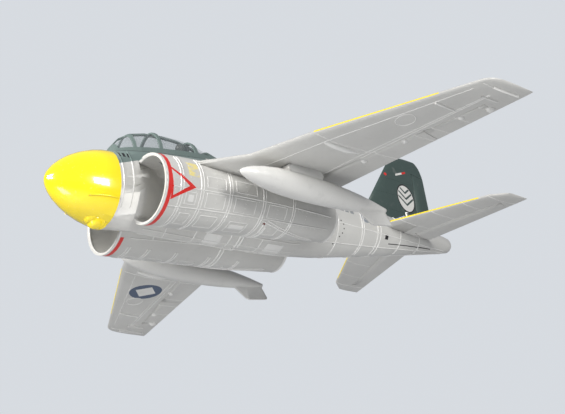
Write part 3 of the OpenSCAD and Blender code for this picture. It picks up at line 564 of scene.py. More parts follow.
DRESS: dict[Finish, tuple[str, ...]] = {
    Finish.SKIN: ("fuselage_port", "fuselage_starboard"),
    Finish.NOSE: ("radome", "turret"),
    Finish.DECK_PAINT: ("canopy_frame",),
    Finish.GLASS: ("canopy_glazing",),
    Finish.INTERIOR: ("cockpit_tub", "crew_seats"),
    Finish.CREW: ("crew_figures",),
    Finish.STEEL: ("hatch_keepers", "hatch_magnets", "wing_hinge_wires", "tail_hinge_wires",
                   "aileron_rod_port", "aileron_rod_starboard", "flap_rod_port", "flap_rod_starboard",
                   "rudder_rod", "elevator_rod_port", "elevator_rod_starboard"),
    Finish.WRAP: ("battery",),
    Finish.STRAP: ("battery_strap",),
    Finish.PLY: ("equipment_tray",),
    Finish.SHRINK: ("speed_controllers",),
    Finish.HOUSING: ("receiver", "fan_housing_port", "fan_housing_starboard"),
    Finish.ROTOR: ("fan_rotor_port", "fan_rotor_starboard"),
    Finish.CAN: ("fan_motors",),
    Finish.LIP: ("exhaust_rings",),
    Finish.LINER: ("intake_duct_port", "intake_duct_starboard", "thrust_tube_port", "thrust_tube_starboard"),
    Finish.WING: ("wing_port", "wing_starboard", "aileron_port", "aileron_starboard", "flap_port",
                  "flap_starboard"),
    Finish.CARBON: ("wing_spars",),
    Finish.SERVO: ("wing_servos", "tail_servos"),
    Finish.NYLON: ("aileron_arm_port", "aileron_arm_starboard", "flap_arm_port", "flap_arm_starboard",
                   "rudder_arm", "elevator_arm_port", "elevator_arm_starboard"),
    Finish.TANK: ("tank_pylons", "tank_port", "tank_starboard"),
    Finish.FIN: ("fin", "rudder"),
    Finish.TAIL: ("stabiliser_port", "stabiliser_starboard", "elevator_port", "elevator_starboard"),
}
FLAT = {"battery", "battery_strap", "equipment_tray", "receiver", "speed_controllers", "wing_servos",
        "tail_servos", "cockpit_tub", "crew_seats"}


def keep(name: str, mesh: bpy.types.Mesh, finish: Finish, body: str) -> bpy.types.Object:
    """Links a mesh as a finished piece on a body.

    Args:
        name: the piece's name.
        mesh: its mesh, in place.
        finish: its finish.
        body: the CAD body that carries it.

    Returns:
        The object.
    """
    mesh.materials.clear()
    mesh.materials.append(finish.material)
    piece = bpy.data.objects.new(name, mesh)
    bpy.context.scene.collection.objects.link(piece)
    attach(piece, body)
    LOG.info("%s: %d faces on %s", name, len(mesh.polygons), body)
    return piece


def body_with(node: str) -> str:
    """The CAD body that a node belongs to."""
    return frame["nodes"][node]["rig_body"]


class Skins:
    """Smooth, joined copies of the CAD shells, with their finishes."""

    def __init__(self) -> None:
        """Starts with no probes."""
        self.trees: dict[str, BVHTree] = {}

    def smooth(self, node: str, finish: Finish, crease: float = 28.0) -> None:
        """Replaces a node with a joined copy that shades smoothly across its facets.

        Args:
            node: the CAD node.
            finish: its finish.
            crease: edges sharper than this, in degrees, stay sharp.
        """
        source = frame["nodes"][node]
        form = bmesh.new()
        form.from_mesh(source.data)
        bmesh.ops.remove_doubles(form, verts=form.verts, dist=2e-6)
        bmesh.ops.dissolve_degenerate(form, dist=2e-6, edges=form.edges)
        mesh = bpy.data.meshes.new(f"{node}_skin")
        form.to_mesh(mesh)
        form.free()
        mesh.shade_smooth()
        mesh.set_sharp_from_angle(angle=math.radians(crease))
        self.trees[node] = BVHTree.FromPolygons([v.co.copy() for v in mesh.vertices],
                                                [tuple(p.vertices) for p in mesh.polygons])
        piece = keep(f"{node}_skin", mesh, finish, body_with(node))
        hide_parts(node)

    def dress(self) -> None:
        """Gives every node its finish, and smooths those with curved skins."""
        for finish, nodes in DRESS.items():
            for node in nodes:
                if node in FLAT:
                    part = frame["nodes"][node]
                    part.data.materials.clear()
                    part.data.materials.append(finish.material)
                else:
                    self.smooth(node, finish)

    def hit(self, nodes: Iterable[str], origin: Vector, way: Vector) -> Hit | None:
        """The first place that a ray meets any of the nodes.

        Args:
            nodes: the nodes to try.
            origin: the ray's start.
            way: its direction.

        Returns:
            The point and the normal towards the origin, or None.
        """
        best = None
        for node in nodes:
            point, normal, _, far = self.trees[node].ray_cast(origin, way)
            if point is not None and (best is None or far < best[2]):
                best = (point, normal if normal.dot(way) < 0 else -normal, far)
        return best and (best[0], best[1])


class Ridges:
    """Raised panel lines and plates that lie on the skins, by default painted lighter than the skin as a
    painted highlight on their raised edges.
    """

    # Across a ridge and out from it, as shares of its width and height
    section = ((-0.5, -0.6), (-0.32, 0.75), (-0.14, 1.0), (0.14, 1.0), (0.32, 0.75), (0.5, -0.6))
    jump = 9.0 * MM
    crease = 50.0

    def __init__(self, skins: Skins) -> None:
        """Keeps the skins to lie on."""
        self.skins = skins

    def _section(self, form: bmesh.types.BMesh, run: Sequence[Hit], width: float, height: float) -> None:
        """Adds one unbroken ridge.

        Args:
            form: the mesh being built.
            run: points and normals along it.
            width: width at the foot.
            height: how far it stands out.
        """
        if len(run) < 3:
            return
        rings = []
        for i, (point, normal) in enumerate(run):
            along = (run[min(i + 1, len(run) - 1)][0] - run[max(i - 1, 0)][0]).normalized()
            across = normal.cross(along).normalized()
            rings.append([form.verts.new(point + across * (width * a) + normal * (height * h))
                          for a, h in self.section])
        self.tube(form, rings)

    def tube(self, form: bmesh.types.BMesh, rings: Sequence[Sequence[bmesh.types.BMVert]]) -> None:
        """Joins rings of corners, each to the next, and caps both ends."""
        for one, two in zip(rings, rings[1:]):
            for i in range(len(one)):
                j = (i + 1) % len(one)
                form.faces.new((one[i], one[j], two[j], two[i]))
        form.faces.new(rings[0][::-1])
        form.faces.new(rings[-1])

    def lines(self, name: str, nodes: Sequence[str], rays: Sequence[Sequence[Ray]], width: float,
              height: float, finish: Finish = Finish.RIDGE) -> None:
        """Builds one piece from several ridges.

        Args:
            name: the piece's name.
            nodes: the skins they lie on, all of one body.
            rays: for each ridge, its rays in order.
            width: foot width in metres.
            height: height in metres.
            finish: the finish.
        """
        form = bmesh.new()
        for path in rays:
            run: list[Hit] = []
            for origin, way in path:
                found = self.skins.hit(nodes, origin, way)
                if found and run and (found[0] - run[-1][0]).length > self.jump:
                    self._section(form, run, width, height)
                    run = []
                if found is None:
                    self._section(form, run, width, height)
                    run = []
                else:
                    run.append(found)
            self._section(form, run, width, height)
        self.close(form, name, finish, body_with(nodes[0]))

    def close(self, form: bmesh.types.BMesh, name: str, finish: Finish, body: str) -> None:
        """Turns the faces outwards and keeps the piece."""
        if not form.faces:
            form.free()
            LOG.warning("%s has no faces", name)
            return
        bmesh.ops.recalc_face_normals(form, faces=form.faces)
        mesh = bpy.data.meshes.new(name)
        form.to_mesh(mesh)
        form.free()
        mesh.shade_smooth()
        mesh.set_sharp_from_angle(angle=math.radians(self.crease))
        keep(name, mesh, finish, body)

    def plates(self, name: str, nodes: Sequence[str], grids: Sequence[Sequence[Sequence[Ray]]],
               height: float, finish: Finish = Finish.RIDGE) -> None:
        """Builds one piece from raised plates, each a grid of rays.

        Args:
            name: the piece's name.
            nodes: the skins they lie on.
            grids: for each plate, rows of rays.
            height: how far the plates stand out.
            finish: the finish.
        """
        form = bmesh.new()
        for grid in grids:
            hits = [[self.skins.hit(nodes, *ray) for ray in row] for row in grid]
            if any(found is None for row in hits for found in row):
                continue
            rows, columns = len(hits), len(hits[0])
            centre = hits[rows // 2][columns // 2][0]
            top, foot = [], []
            for row in hits:
                top.append([form.verts.new(p.lerp(centre, 0.05) + n * height) for p, n in row])
                foot.append([form.verts.new(p - n * height) for p, n in row])
            for i in range(rows - 1):
                for j in range(columns - 1):
                    form.faces.new((top[i][j], top[i][j + 1], top[i + 1][j + 1], top[i + 1][j]))
                    form.faces.new((foot[i][j], foot[i + 1][j], foot[i + 1][j + 1], foot[i][j + 1]))
            border = [(0, j) for j in range(columns)] + [(i, columns - 1) for i in range(1, rows)]
            border += [(rows - 1, j) for j in range(columns - 2, -1, -1)]
            border += [(i, 0) for i in range(rows - 2, 0, -1)]
            for (a, b), (c, d) in zip(border, border[1:] + border[:1]):
                form.faces.new((top[a][b], foot[a][b], foot[c][d], top[c][d]))
        self.close(form, name, finish, body_with(nodes[0]))


def vec(x: float, y: float, z: float) -> Vector:
    """A point given in millimetres."""
    return Vector((x, y, z)) * MM


def spread(a: float, b: float, count: int) -> list[float]:
    """Evenly spaced values from a to b."""
    return [a + (b - a) * i / (count - 1) for i in range(count)]


@dataclass
class Nacelles:
    """Panel lines, hatches and lips on the fuselage shells."""

    skins: Skins
    ridges: Ridges
    front: float = -212.0
    length: float = 239.0
    reach: float = 95.0
    lip_turns: tuple[float, float] = (-140.0, 103.0)
    lip_r: float = 1.7
    ring_pairs: tuple[float, ...] = (
        -193.4, -190.2, -168.0, -164.8, -130.7, -127.6, -84.6, -81.4, -41.2, -38.2)
    tail_rings: tuple[float, ...] = (70.0, 113.0, 116.5, 142.5, 148.2, 188.0, 228.0)
    cheek_rings: tuple[float, ...] = (-234.6, -222.0)
    keel_xs: tuple[float, ...] = (5.5, 17.0)
    cross_ys: tuple[float, ...] = (-168, -130.7, -84.6, -41.2)
    # Each panel: its stations from and to, and its angles from and to
    panels: tuple[tuple[float, ...], ...] = (
        (-186, -173, -46, -26), (-160, -136, -48, -24), (-122, -94, -48, -24), (-76, -50, -48, -24),
        (-160, -136, -14, 6), (-122, -94, -14, 8), (-186, -173, -86, -62), (-160, -138, -88, -62),
        (-120, -96, -92, -66), (-72, -52, -88, -64))
    hatches: tuple[tuple[float, ...], ...] = ((-183, -176, -42, -30), (-118, -98, -82, -72))
    belly_hatches: tuple[tuple[float, float], ...] = ((-32.0, -8.0), (-118.0, -96.0))
    line_w: float = 1.6
    line_h: float = 0.7

    def centre(self, y: float) -> tuple[float, float]:
        """Nacelle centre at a station, as (x, z)."""
        u = (y - self.front) / self.length
        return 40.0 + 5.0 * u, 38.5 + 13.0 * u * (2.0 - u)

    def round_ray(self, side: Side, y: float, angle: float) -> Ray:
        """A ray from outside to the nacelle's centre line, 0 degrees being straight outboard."""
        x, z = self.centre(y)
        return self.spoke(side, x * side.value, y, z, angle)

    def tail_ray(self, side: Side, y: float, angle: float) -> Ray:
        """A ray from outside to the tail boom's centre line."""
        return self.spoke(side, 0.0, y, 84.0, angle)

    def spoke(self, side: Side, x: float, y: float, z: float, angle: float) -> Ray:
        """A ray from outside to a point, at an angle from straight outboard."""
        a = math.radians(angle)
        way = Vector((math.cos(a) * side.value, 0.0, math.sin(a)))
        return vec(x, y, z) + way * mm(self.reach), -way

    def up_ray(self, x: float, y: float) -> Ray:
        """A ray straight up from under the aircraft."""
        return vec(x, y, -40.0), Vector((0.0, 0.0, 1.0))

    def lips(self, tubes: "Tubes") -> None:
        """Adds the fat rounded lip of each intake."""
        across, upward = 36.5 - self.lip_r, 38.5 - self.lip_r
        for side in Side:
            turns = [math.radians(a) for a in spread(*self.lip_turns, 72)]
            path = [vec(side.value * (40.0 + across * math.cos(a)), self.front + self.lip_r,
                        38.5 + upward * math.sin(a)) for a in turns]
            tubes.sweep(f"intake_lip_{side.word}", [path], mm(self.lip_r), 16, Finish.LIP, "airframe")

    def hatch_seam(self) -> None:
        """Dark joint line under the canopy's rail."""
        for side in Side:
            way = Vector((-side.value, 0.0, 0.0))
            path = [(vec(90.0 * side.value, y, 87.7 + 0.16 * (y + 234.0)), way)
                    for y in spread(-233.0, -86.0, 70)]
            node = (f"fuselage_{side.word}",)
            self.ridges.lines(f"hatch_seam_{side.word}", node, [path], mm(0.9), mm(0.06), Finish.INTERIOR)

    def panel_lines(self, side: Side, node: str) -> None:
        """Rings, rails and keel lines."""
        s = side.value
        rings = [[self.round_ray(side, y, a) for a in spread(-112.0, 46.0, 64)] for y in self.ring_pairs]
        rails = [[self.round_ray(side, y, a) for y in spread(-204.0, 18.0, 60)] for a in (-52.0, -20.0)]
        keel = [[self.up_ray(x * s, y) for y in spread(-196.0, 14.0, 60)] for x in self.keel_xs]
        cross = [[self.up_ray(x * s, y) for x in spread(0.6, 17.0, 12)] for y in self.cross_ys]
        tail = [[self.tail_ray(side, y, a) for a in spread(-86.0, 60.0, 40)] for y in self.tail_rings]
        boom = [[self.tail_ray(side, y, a) for y in spread(40.0, 286.0, 60)] for a in (-30.0, -64.0)]
        cheek = [[self.tail_ray(side, y, a) for a in spread(-70.0, 10.0, 20)] for y in self.cheek_rings]
        rays = rings + rails + keel + cross + tail + boom + cheek
        self.ridges.lines(f"panel_lines_{side.word}", (node,), rays, mm(self.line_w), mm(self.line_h))

    def panel_frames(self, side: Side, node: str) -> None:
        """Raised outlines of the panels, and the hatches that stand proud."""
        frames = []
        for y0, y1, a0, a1 in self.panels:
            corners = ((y0, a0), (y1, a0), (y1, a1), (y0, a1), (y0, a0), (y0 + 0.5, a0))
            frames.append([self.round_ray(side, y + (y2 - y) * u, a + (a2 - a) * u)
                           for (y, a), (y2, a2) in zip(corners, corners[1:]) for u in spread(0.0, 0.9, 8)])
        self.ridges.lines(f"panel_frames_{side.word}", (node,), frames, mm(1.2), mm(0.45))
        plates = [[[self.round_ray(side, y, a) for a in spread(a0, a1, 7)] for y in spread(y0, y1, 7)]
                  for y0, y1, a0, a1 in self.hatches]
        plates += [[[self.up_ray(x * side.value, y) for x in spread(1.2, 14.0, 5)] for y in spread(y0, y1, 7)]
                   for y0, y1 in self.belly_hatches]
        self.ridges.plates(f"access_panels_{side.word}", (node,), plates, mm(0.4))

    def seams(self, side: Side, node: str) -> None:
        """The lower seam, and the slot and notch on the tail boom, these two drawn as thin dark strips of
        painted shade.
        """
        seam = [[self.round_ray(side, y, a) for y, a in zip(spread(y0, y1, 30), spread(a0, a1, 30))]
                for y0, y1, a0, a1 in ((-76.0, 4.0, -57.0, -96.0), (-72.0, 8.0, -54.0, -93.0))]
        seam += [[self.up_ray(x * side.value, y) for x, y in zip(spread(x0, 2.0, 40), spread(y0, y1, 40))]
                 for x0, y0, y1 in ((59.0, -75.5, -72.5), (56.0, -70.5, -68.0))]
        self.ridges.lines(f"lower_seam_{side.word}", (node,), seam, mm(2.2), mm(1.2))
        # Painted shade: the slot and notch have no depth of their own, so a thin strip in the black cockpit
        # finish stands in for the shade inside them.
        slots = [[self.tail_ray(side, y, -52.0 + 0.1 * (y - 166)) for y in spread(166.0, 256.0, 30)]]
        self.ridges.lines(f"tail_slot_{side.word}", (node,), slots, mm(1.4), mm(0.1), Finish.INTERIOR)
        notch = [[[self.tail_ray(side, y, a) for a in spread(-42.0, -28.0, 5)] for y in spread(157, 163, 4)]]
        self.ridges.plates(f"tail_notch_{side.word}", (node,), notch, mm(0.25), Finish.INTERIOR)

    def build(self, tubes: "Tubes") -> None:
        """Adds the details of both shells."""
        for side in Side:
            node = f"fuselage_{side.word}"
            self.panel_lines(side, node)
            self.panel_frames(side, node)
            self.seams(side, node)
        self.lips(tubes)
        self.hatch_seam()


class GrowTree:
    """A Geometry Nodes tree with named inputs that ends in one painted mesh."""

    def __init__(self, name: str, given: str, numbers: dict[str, str]) -> None:
        """Makes the tree's sockets.

        Args:
            name: the tree's name.
            given: what its geometry input is called.
            numbers: its other inputs, by name, each with its kind of socket.
        """
        self.tree = bpy.data.node_groups.new(name, "GeometryNodeTree")
        self.tree.interface.new_socket(given, in_out="INPUT", socket_type="NodeSocketGeometry")
        for word, kind in (*numbers.items(), ("Finish", "Material")):
            self.tree.interface.new_socket(word, in_out="INPUT", socket_type=f"NodeSocket{kind}")
        self.tree.interface.new_socket("Made", in_out="OUTPUT", socket_type="NodeSocketGeometry")
        self.given = self.add("NodeGroupInput").outputs

    def add(self, kind: str) -> bpy.types.Node:
        """Adds a node."""
        return self.tree.nodes.new(kind)

    def join(self, one: bpy.types.NodeSocket, two: bpy.types.NodeSocket) -> None:
        """Links two sockets."""
        self.tree.links.new(one, two)

    def close(self, last: bpy.types.NodeSocket) -> None:
        """Makes the last geometry real, paints it and gives it out."""
        solid = self.add("GeometryNodeRealizeInstances")
        paint = self.add("GeometryNodeSetMaterial")
        self.join(last, solid.inputs[0])
        self.join(solid.outputs[0], paint.inputs["Geometry"])
        self.join(self.given["Finish"], paint.inputs["Material"])
        self.join(paint.outputs[0], self.add("NodeGroupOutput").inputs[0])

    def grow(self, name: str, mesh: bpy.types.Mesh, finish: Finish, **values: float) -> bpy.types.Mesh:
        """Runs the tree on a mesh and returns the plain result.

        Args:
            name: name for the result.
            mesh: what the tree is given.
            finish: the finish.
            values: its numbers by name.

        Returns:
            The finished mesh.
        """
        maker = bpy.data.objects.new(f"{name}_maker", mesh)
        bpy.context.scene.collection.objects.link(maker)
        modifier = maker.modifiers.new("grow", "NODES")
        modifier.node_group = self.tree
        values["Finish"] = finish.material
        for item in self.tree.interface.items_tree:
            if item.in_out == "INPUT" and item.name in values:
                modifier[item.identifier] = values[item.name]
        made = bpy.data.meshes.new_from_object(maker.evaluated_get(bpy.context.evaluated_depsgraph_get()))
        maker.modifiers.remove(modifier)
        bpy.data.objects.remove(maker)
        made.name = name
        return made


class Dots:
    """Small round details set on a skin by Geometry Nodes."""

    def __init__(self) -> None:
        """Builds the tree: one dome on each point, its crown along the point's facing attribute."""
        self.grower = grower = GrowTree("dots_on_skin", "Points", {"Radius": "Float", "Crown": "Float"})
        ball = grower.add("GeometryNodeMeshUVSphere")
        ball.inputs["Segments"].default_value = 12
        ball.inputs["Rings"].default_value = 6
        ball.inputs["Radius"].default_value = 1.0
        size = grower.add("ShaderNodeCombineXYZ")
        facing = grower.add("GeometryNodeInputNamedAttribute")
        facing.data_type = "FLOAT_VECTOR"
        facing.inputs["Name"].default_value = "facing"
        turn = grower.add("FunctionNodeAlignRotationToVector")
        turn.axis = "Z"
        place = grower.add("GeometryNodeInstanceOnPoints")
        grower.join(grower.given["Points"], place.inputs["Points"])
        grower.join(ball.outputs["Mesh"], place.inputs["Instance"])
        grower.join(facing.outputs["Attribute"], turn.inputs["Vector"])
        grower.join(turn.outputs[0], place.inputs["Rotation"])
        for axis, word in (("X", "Radius"), ("Y", "Radius"), ("Z", "Crown")):
            grower.join(grower.given[word], size.inputs[axis])
        grower.join(size.outputs[0], place.inputs["Scale"])
        grower.close(place.outputs[0])

    def set(self, name: str, hits: Sequence[Hit | None], radius: float, crown: float, finish: Finish,
            body: str) -> None:
        """Makes one piece of domes.

        Args:
            name: the piece's name.
            hits: points and normals.
            radius: dome radius in metres.
            crown: dome height in metres.
            finish: the finish.
            body: the body it rides on.
        """
        found = [h for h in hits if h is not None]
        mesh = bpy.data.meshes.new(name)
        mesh.from_pydata([p for p, _ in found], [], [])
        layer = mesh.attributes.new("facing", "FLOAT_VECTOR", "POINT")
        for i, (_, normal) in enumerate(found):
            layer.data[i].vector = normal
        made = self.grower.grow(name, mesh, finish, Radius=radius, Crown=crown)
        made.shade_smooth()
        keep(name, made, finish, body)


class Tubes:
    """Round beads swept along paths by Geometry Nodes."""

    def __init__(self) -> None:
        """Builds the tree: a circle swept along the given edges."""
        self.grower = grower = GrowTree("bead_on_path", "Path", {"Radius": "Float", "Sides": "Int"})
        path = grower.add("GeometryNodeMeshToCurve")
        circle = grower.add("GeometryNodeCurvePrimitiveCircle")
        sweep = grower.add("GeometryNodeCurveToMesh")
        sweep.inputs["Fill Caps"].default_value = True
        grower.join(grower.given["Path"], path.inputs["Mesh"])
        grower.join(grower.given["Sides"], circle.inputs["Resolution"])
        grower.join(grower.given["Radius"], circle.inputs["Radius"])
        grower.join(path.outputs[0], sweep.inputs["Curve"])
        grower.join(circle.outputs["Curve"], sweep.inputs["Profile Curve"])
        grower.close(sweep.outputs[0])

    def sweep(self, name: str, paths: Sequence[Sequence[Vector]], radius: float, sides: int, finish: Finish,
              body: str, closed: bool = False) -> None:
        """Makes one piece of beads.

        Args:
            name: the piece's name.
            paths: points along each bead.
            radius: bead radius in metres.
            sides: facets round it.
            finish: the finish.
            body: the body it rides on.
            closed: whether each bead joins its own start.
        """
        points, edges = [], []
        for path in paths:
            start = len(points)
            points += path
            edges += [(start + i, start + i + 1) for i in range(len(path) - 1)]
            if closed:
                edges.append((len(points) - 1, start))
        mesh = bpy.data.meshes.new(name)
        mesh.from_pydata(points, edges, [])
        made = self.grower.grow(name, mesh, finish, Radius=radius, Sides=sides)
        form = bmesh.new()
        form.from_mesh(made)
        bmesh.ops.remove_doubles(form, verts=form.verts, dist=1e-7)
        bmesh.ops.recalc_face_normals(form, faces=form.faces)
        form.to_mesh(made)
        form.free()
        made.shade_smooth()
        made.set_sharp_from_angle(angle=math.radians(60.0))
        keep(name, made, finish, body)


@dataclass
class RivetRows:
    """Fastener rows and vent holes."""

    skins: Skins
    dots: Dots
    nacelles: Nacelles
    stations: tuple[float, ...] = (-181.0, -148.0, -108.0, -63.0, -20.0)
    rails: tuple[float, ...] = (-57.0, -24.0)
    # Each vent: its station and its angle on the tail boom
    vents: tuple[tuple[float, float], ...] = (
        (66, -66), (70, -60), (74, -54), (78, -48), (80, -40), (79, -32), (75, -26), (70, -24))

    def build(self) -> None:
        """Sets every row."""
        for side in Side:
            node = (f"fuselage_{side.word}",)
            spots = [(y, a) for y in self.stations for a in spread(-100, 30, 18)]
            spots += [(y, a) for a in self.rails for y in spread(-200, 12, 34)]
            hits = [self.skins.hit(node, *self.nacelles.round_ray(side, y, a)) for y, a in spots]
            self.dots.set(f"fasteners_{side.word}", hits, mm(0.55), mm(0.28), Finish.RIDGE, "airframe")
            holes = [self.skins.hit(node, *self.nacelles.tail_ray(side, y, a)) for y, a in self.vents]
            self.dots.set(f"vent_holes_{side.word}", holes, mm(0.95), mm(0.08), Finish.INTERIOR, "airframe")


@dataclass
class Wings:
    """Raised lines, strakes and fairings on the wings, tail and fin."""

    skins: Skins
    ridges: Ridges
    line_w: float = 1.3
    line_h: float = 0.5
    chords: tuple[float, ...] = (0.17, 0.615, 0.66)
    ribs_below: tuple[float, ...] = (181.3, 337.0)
    ribs_above: tuple[float, ...] = (100.0, 146.0, 181.3, 214.0, 246.0, 285.0, 319.0)
    control_ribs: tuple[tuple[str, tuple[float, ...]], ...] = (
        ("aileron", (250.0, 276.0, 303.0)), ("flap", (181.4, 230.0)))
    stab_ribs: tuple[float, ...] = (44.0, 78.0, 112.0, 140.0)
    # Each strake: its x, and its y from and to
    strakes: tuple[tuple[float, ...], ...] = ((288.5, -36.0, -8.0), (321.0, -3.0, 21.0), (338.0, -6.0, 32.0))
    ring: tuple[float, float, float] = (249.5, -38.0, 10.5)
    # Each hinge fairing: its x and y, what it stands on, and its size
    hinges: tuple[tuple[float, float, str, float], ...] = (
        (162.0, -13.8, "flap", 3.4), (215.4, -5.6, "flap", 3.4), (279.5, 11.2, "aileron", 3.4),
        (306.0, 26.0, "aileron", 4.6))
    fin_lines: tuple[float, ...] = (126.0, 150.0, 174.0)
    pod_rings: int = 17
    pod_sides: int = 13
    pod_sunk: float = 1.0

    def ray(self, side: Side, x: float, y: float, up: bool) -> Ray:
        """A ray on to the lower (up is True) or upper face."""
        z = -60.0 if up else 200.0
        return vec(x * side.value, y, z), Vector((0.0, 0.0, 1.0 if up else -1.0))

    def edge(self, x: float) -> float:
        """Leading edge y at a station."""
        for (x0, y0), (x1, y1) in zip(WING_EDGE, WING_EDGE[1:]):
            if x <= x1:
                return y0 + (y1 - y0) * (x - x0) / (x1 - x0)
        return WING_EDGE[-1][1]

    def pod(self, name: str, node: str, side: Side, start: tuple[float, float], end: tuple[float, float],
            wide: float, deep: float) -> None:
        """Adds a drop-shaped fairing on the lower face.

        Args:
            name: the piece's name.
            node: the surface it stands on.
            side: which wing.
            start: its front, as (x, y) in millimetres.
            end: its back.
            wide: half width.
            deep: how far it stands out.
        """
        form = bmesh.new()
        rings = []
        for u in spread(0.0, 1.0, self.pod_rings):
            x, y = start[0] + (end[0] - start[0]) * u, start[1] + (end[1] - start[1]) * u
            found = self.skins.hit((node,), *self.ray(side, x, y, True))
            if found is None:
                continue
            girth = max(0.03, math.sin(math.pi * u ** 0.8)) ** 0.7
            rings.append([form.verts.new(found[0] + vec(wide * girth * math.cos(a), 0.0,
                                                        self.pod_sunk - deep * girth * math.sin(a)))
                          for a in spread(0.0, math.pi, self.pod_sides)])
        if rings:
            self.ridges.tube(form, rings)
        self.ridges.close(form, name, Finish.RIDGE, body_with(node))

    def ribs(self, side: Side, xs: Sequence[float], ys: Sequence[float]) -> list[list[Ray]]:
        """Fore-and-aft rays on both faces."""
        return [[self.ray(side, x, y, up) for y in ys] for x in xs for up in (True, False)]

    def lines(self, name: str, node: str, paths: Sequence[Sequence[Ray]]) -> None:
        """Adds lines of the usual width to a surface."""
        self.ridges.lines(name, (node,), paths, mm(self.line_w), mm(self.line_h))

    def panel(self, side: Side, node: str) -> None:
        """Adds what stands on a wing panel."""
        paths = []
        for up in (True, False):
            for share in self.chords:
                paths.append([self.ray(side, x, self.edge(x) + share * (22.0 - self.edge(x)), up)
                              for x in spread(84.0, 326.0, 60)])
            for x in self.ribs_below if up else self.ribs_above:
                low = self.edge(x) + 5.0
                paths.append([self.ray(side, x, y, up) for y in spread(low, low + 0.9 * (30.0 - low), 40)])
        self.lines(f"wing_lines_{side.word}", node, paths)
        strakes = [[self.ray(side, x, y, True) for y in spread(a, b, 16)] for x, a, b in self.strakes]
        self.ridges.lines(f"wing_strakes_{side.word}", (node,), strakes, mm(2.6), mm(2.2))

    def build(self) -> None:
        """Adds the lines to every surface."""
        for side in Side:
            node = f"wing_{side.word}"
            self.panel(side, node)
            for surface, spans in self.control_ribs:
                self.lines(f"{surface}_lines_{side.word}", f"{surface}_{side.word}",
                           self.ribs(side, spans, spread(-36.0, 40.0, 60)))
            self.lines(f"stabiliser_lines_{side.word}", f"stabiliser_{side.word}",
                       self.ribs(side, self.stab_ribs, spread(150.0, 275.0, 70)))
            x, y, r = self.ring
            ring = [[self.ray(side, x + r * math.cos(a), y + r * math.sin(a), True)
                     for a in spread(0.0, math.tau, 49)]]
            self.ridges.lines(f"wing_ring_{side.word}", (node,), ring, mm(1.6), mm(0.6))
            self.pod(f"fold_fairing_{side.word}", node, side, (174.5, -84.0), (173.5, -26.0), 4.2, 4.4)
            for i, (x, y, on, size) in enumerate(self.hinges):
                self.pod(f"hinge_fairing_{i}_{side.word}", f"{on}_{side.word}", side, (x, y - 1.1 * size),
                         (x, y + 2.2 * size), size, size)
        paths = [[(vec(60.0 * turn, y, z), Vector((-turn, 0.0, 0.0))) for y in spread(150, 256, 60)]
                 for turn in (1.0, -1.0) for z in self.fin_lines]
        self.ridges.lines("fin_lines", ("fin",), paths, mm(0.9), mm(0.25), Finish.FIN)


@dataclass
class Turret:
    """The chin turret with its stepped rings, and the crease on the nose cone."""

    ridges: Ridges
    tubes: Tubes
    centre: tuple[float, float, float] = (0.0, -246.0, 14.2)
    radius: float = 10.3
    step: float = 0.55
    aim: tuple[float, float, float] = (0.67, -0.3, -0.67)
    leans: tuple[float, ...] = (16.0, 33.0, 52.0, 76.0)
    crease_z: float = 26.5

    def ball(self) -> None:
        """Adds the moulded ball behind the turret's collar."""
        form = bmesh.new()
        bmesh.ops.create_uvsphere(form, u_segments=64, v_segments=32, radius=mm(self.radius))
        bmesh.ops.translate(form, verts=form.verts, vec=vec(*self.centre))
        mesh = bpy.data.meshes.new("turret_ball")
        form.to_mesh(mesh)
        form.free()
        mesh.shade_smooth()
        keep("turret_ball", mesh, Finish.NOSE, "airframe")

    def rings(self) -> None:
        """Adds the steps round the way the turret looks."""
        axis = Vector(self.aim).normalized()
        across = axis.orthogonal().normalized()
        upward = axis.cross(across)
        turns = [math.tau * i / 48 for i in range(48)]
        paths = []
        for lean in (math.radians(a) for a in self.leans):
            paths.append([vec(*self.centre) + (axis * math.cos(lean) + (across * math.cos(t) + upward
                          * math.sin(t)) * math.sin(lean)) * mm(self.radius) for t in turns])
        self.tubes.sweep("turret_rings", paths, mm(self.step), 10, Finish.NOSE, "airframe", closed=True)

    def build(self) -> None:
        """Adds the ball, its rings and the crease."""
        self.ball()
        self.rings()
        creases = [[(vec(90.0 * s, y, self.crease_z), Vector((-s, 0.0, 0.0)))
                    for y in spread(-270.0, -239.5, 30)] for s in (1.0, -1.0)]
        self.ridges.lines("nose_crease", ("radome",), creases, mm(2.4), mm(1.0), Finish.NOSE)


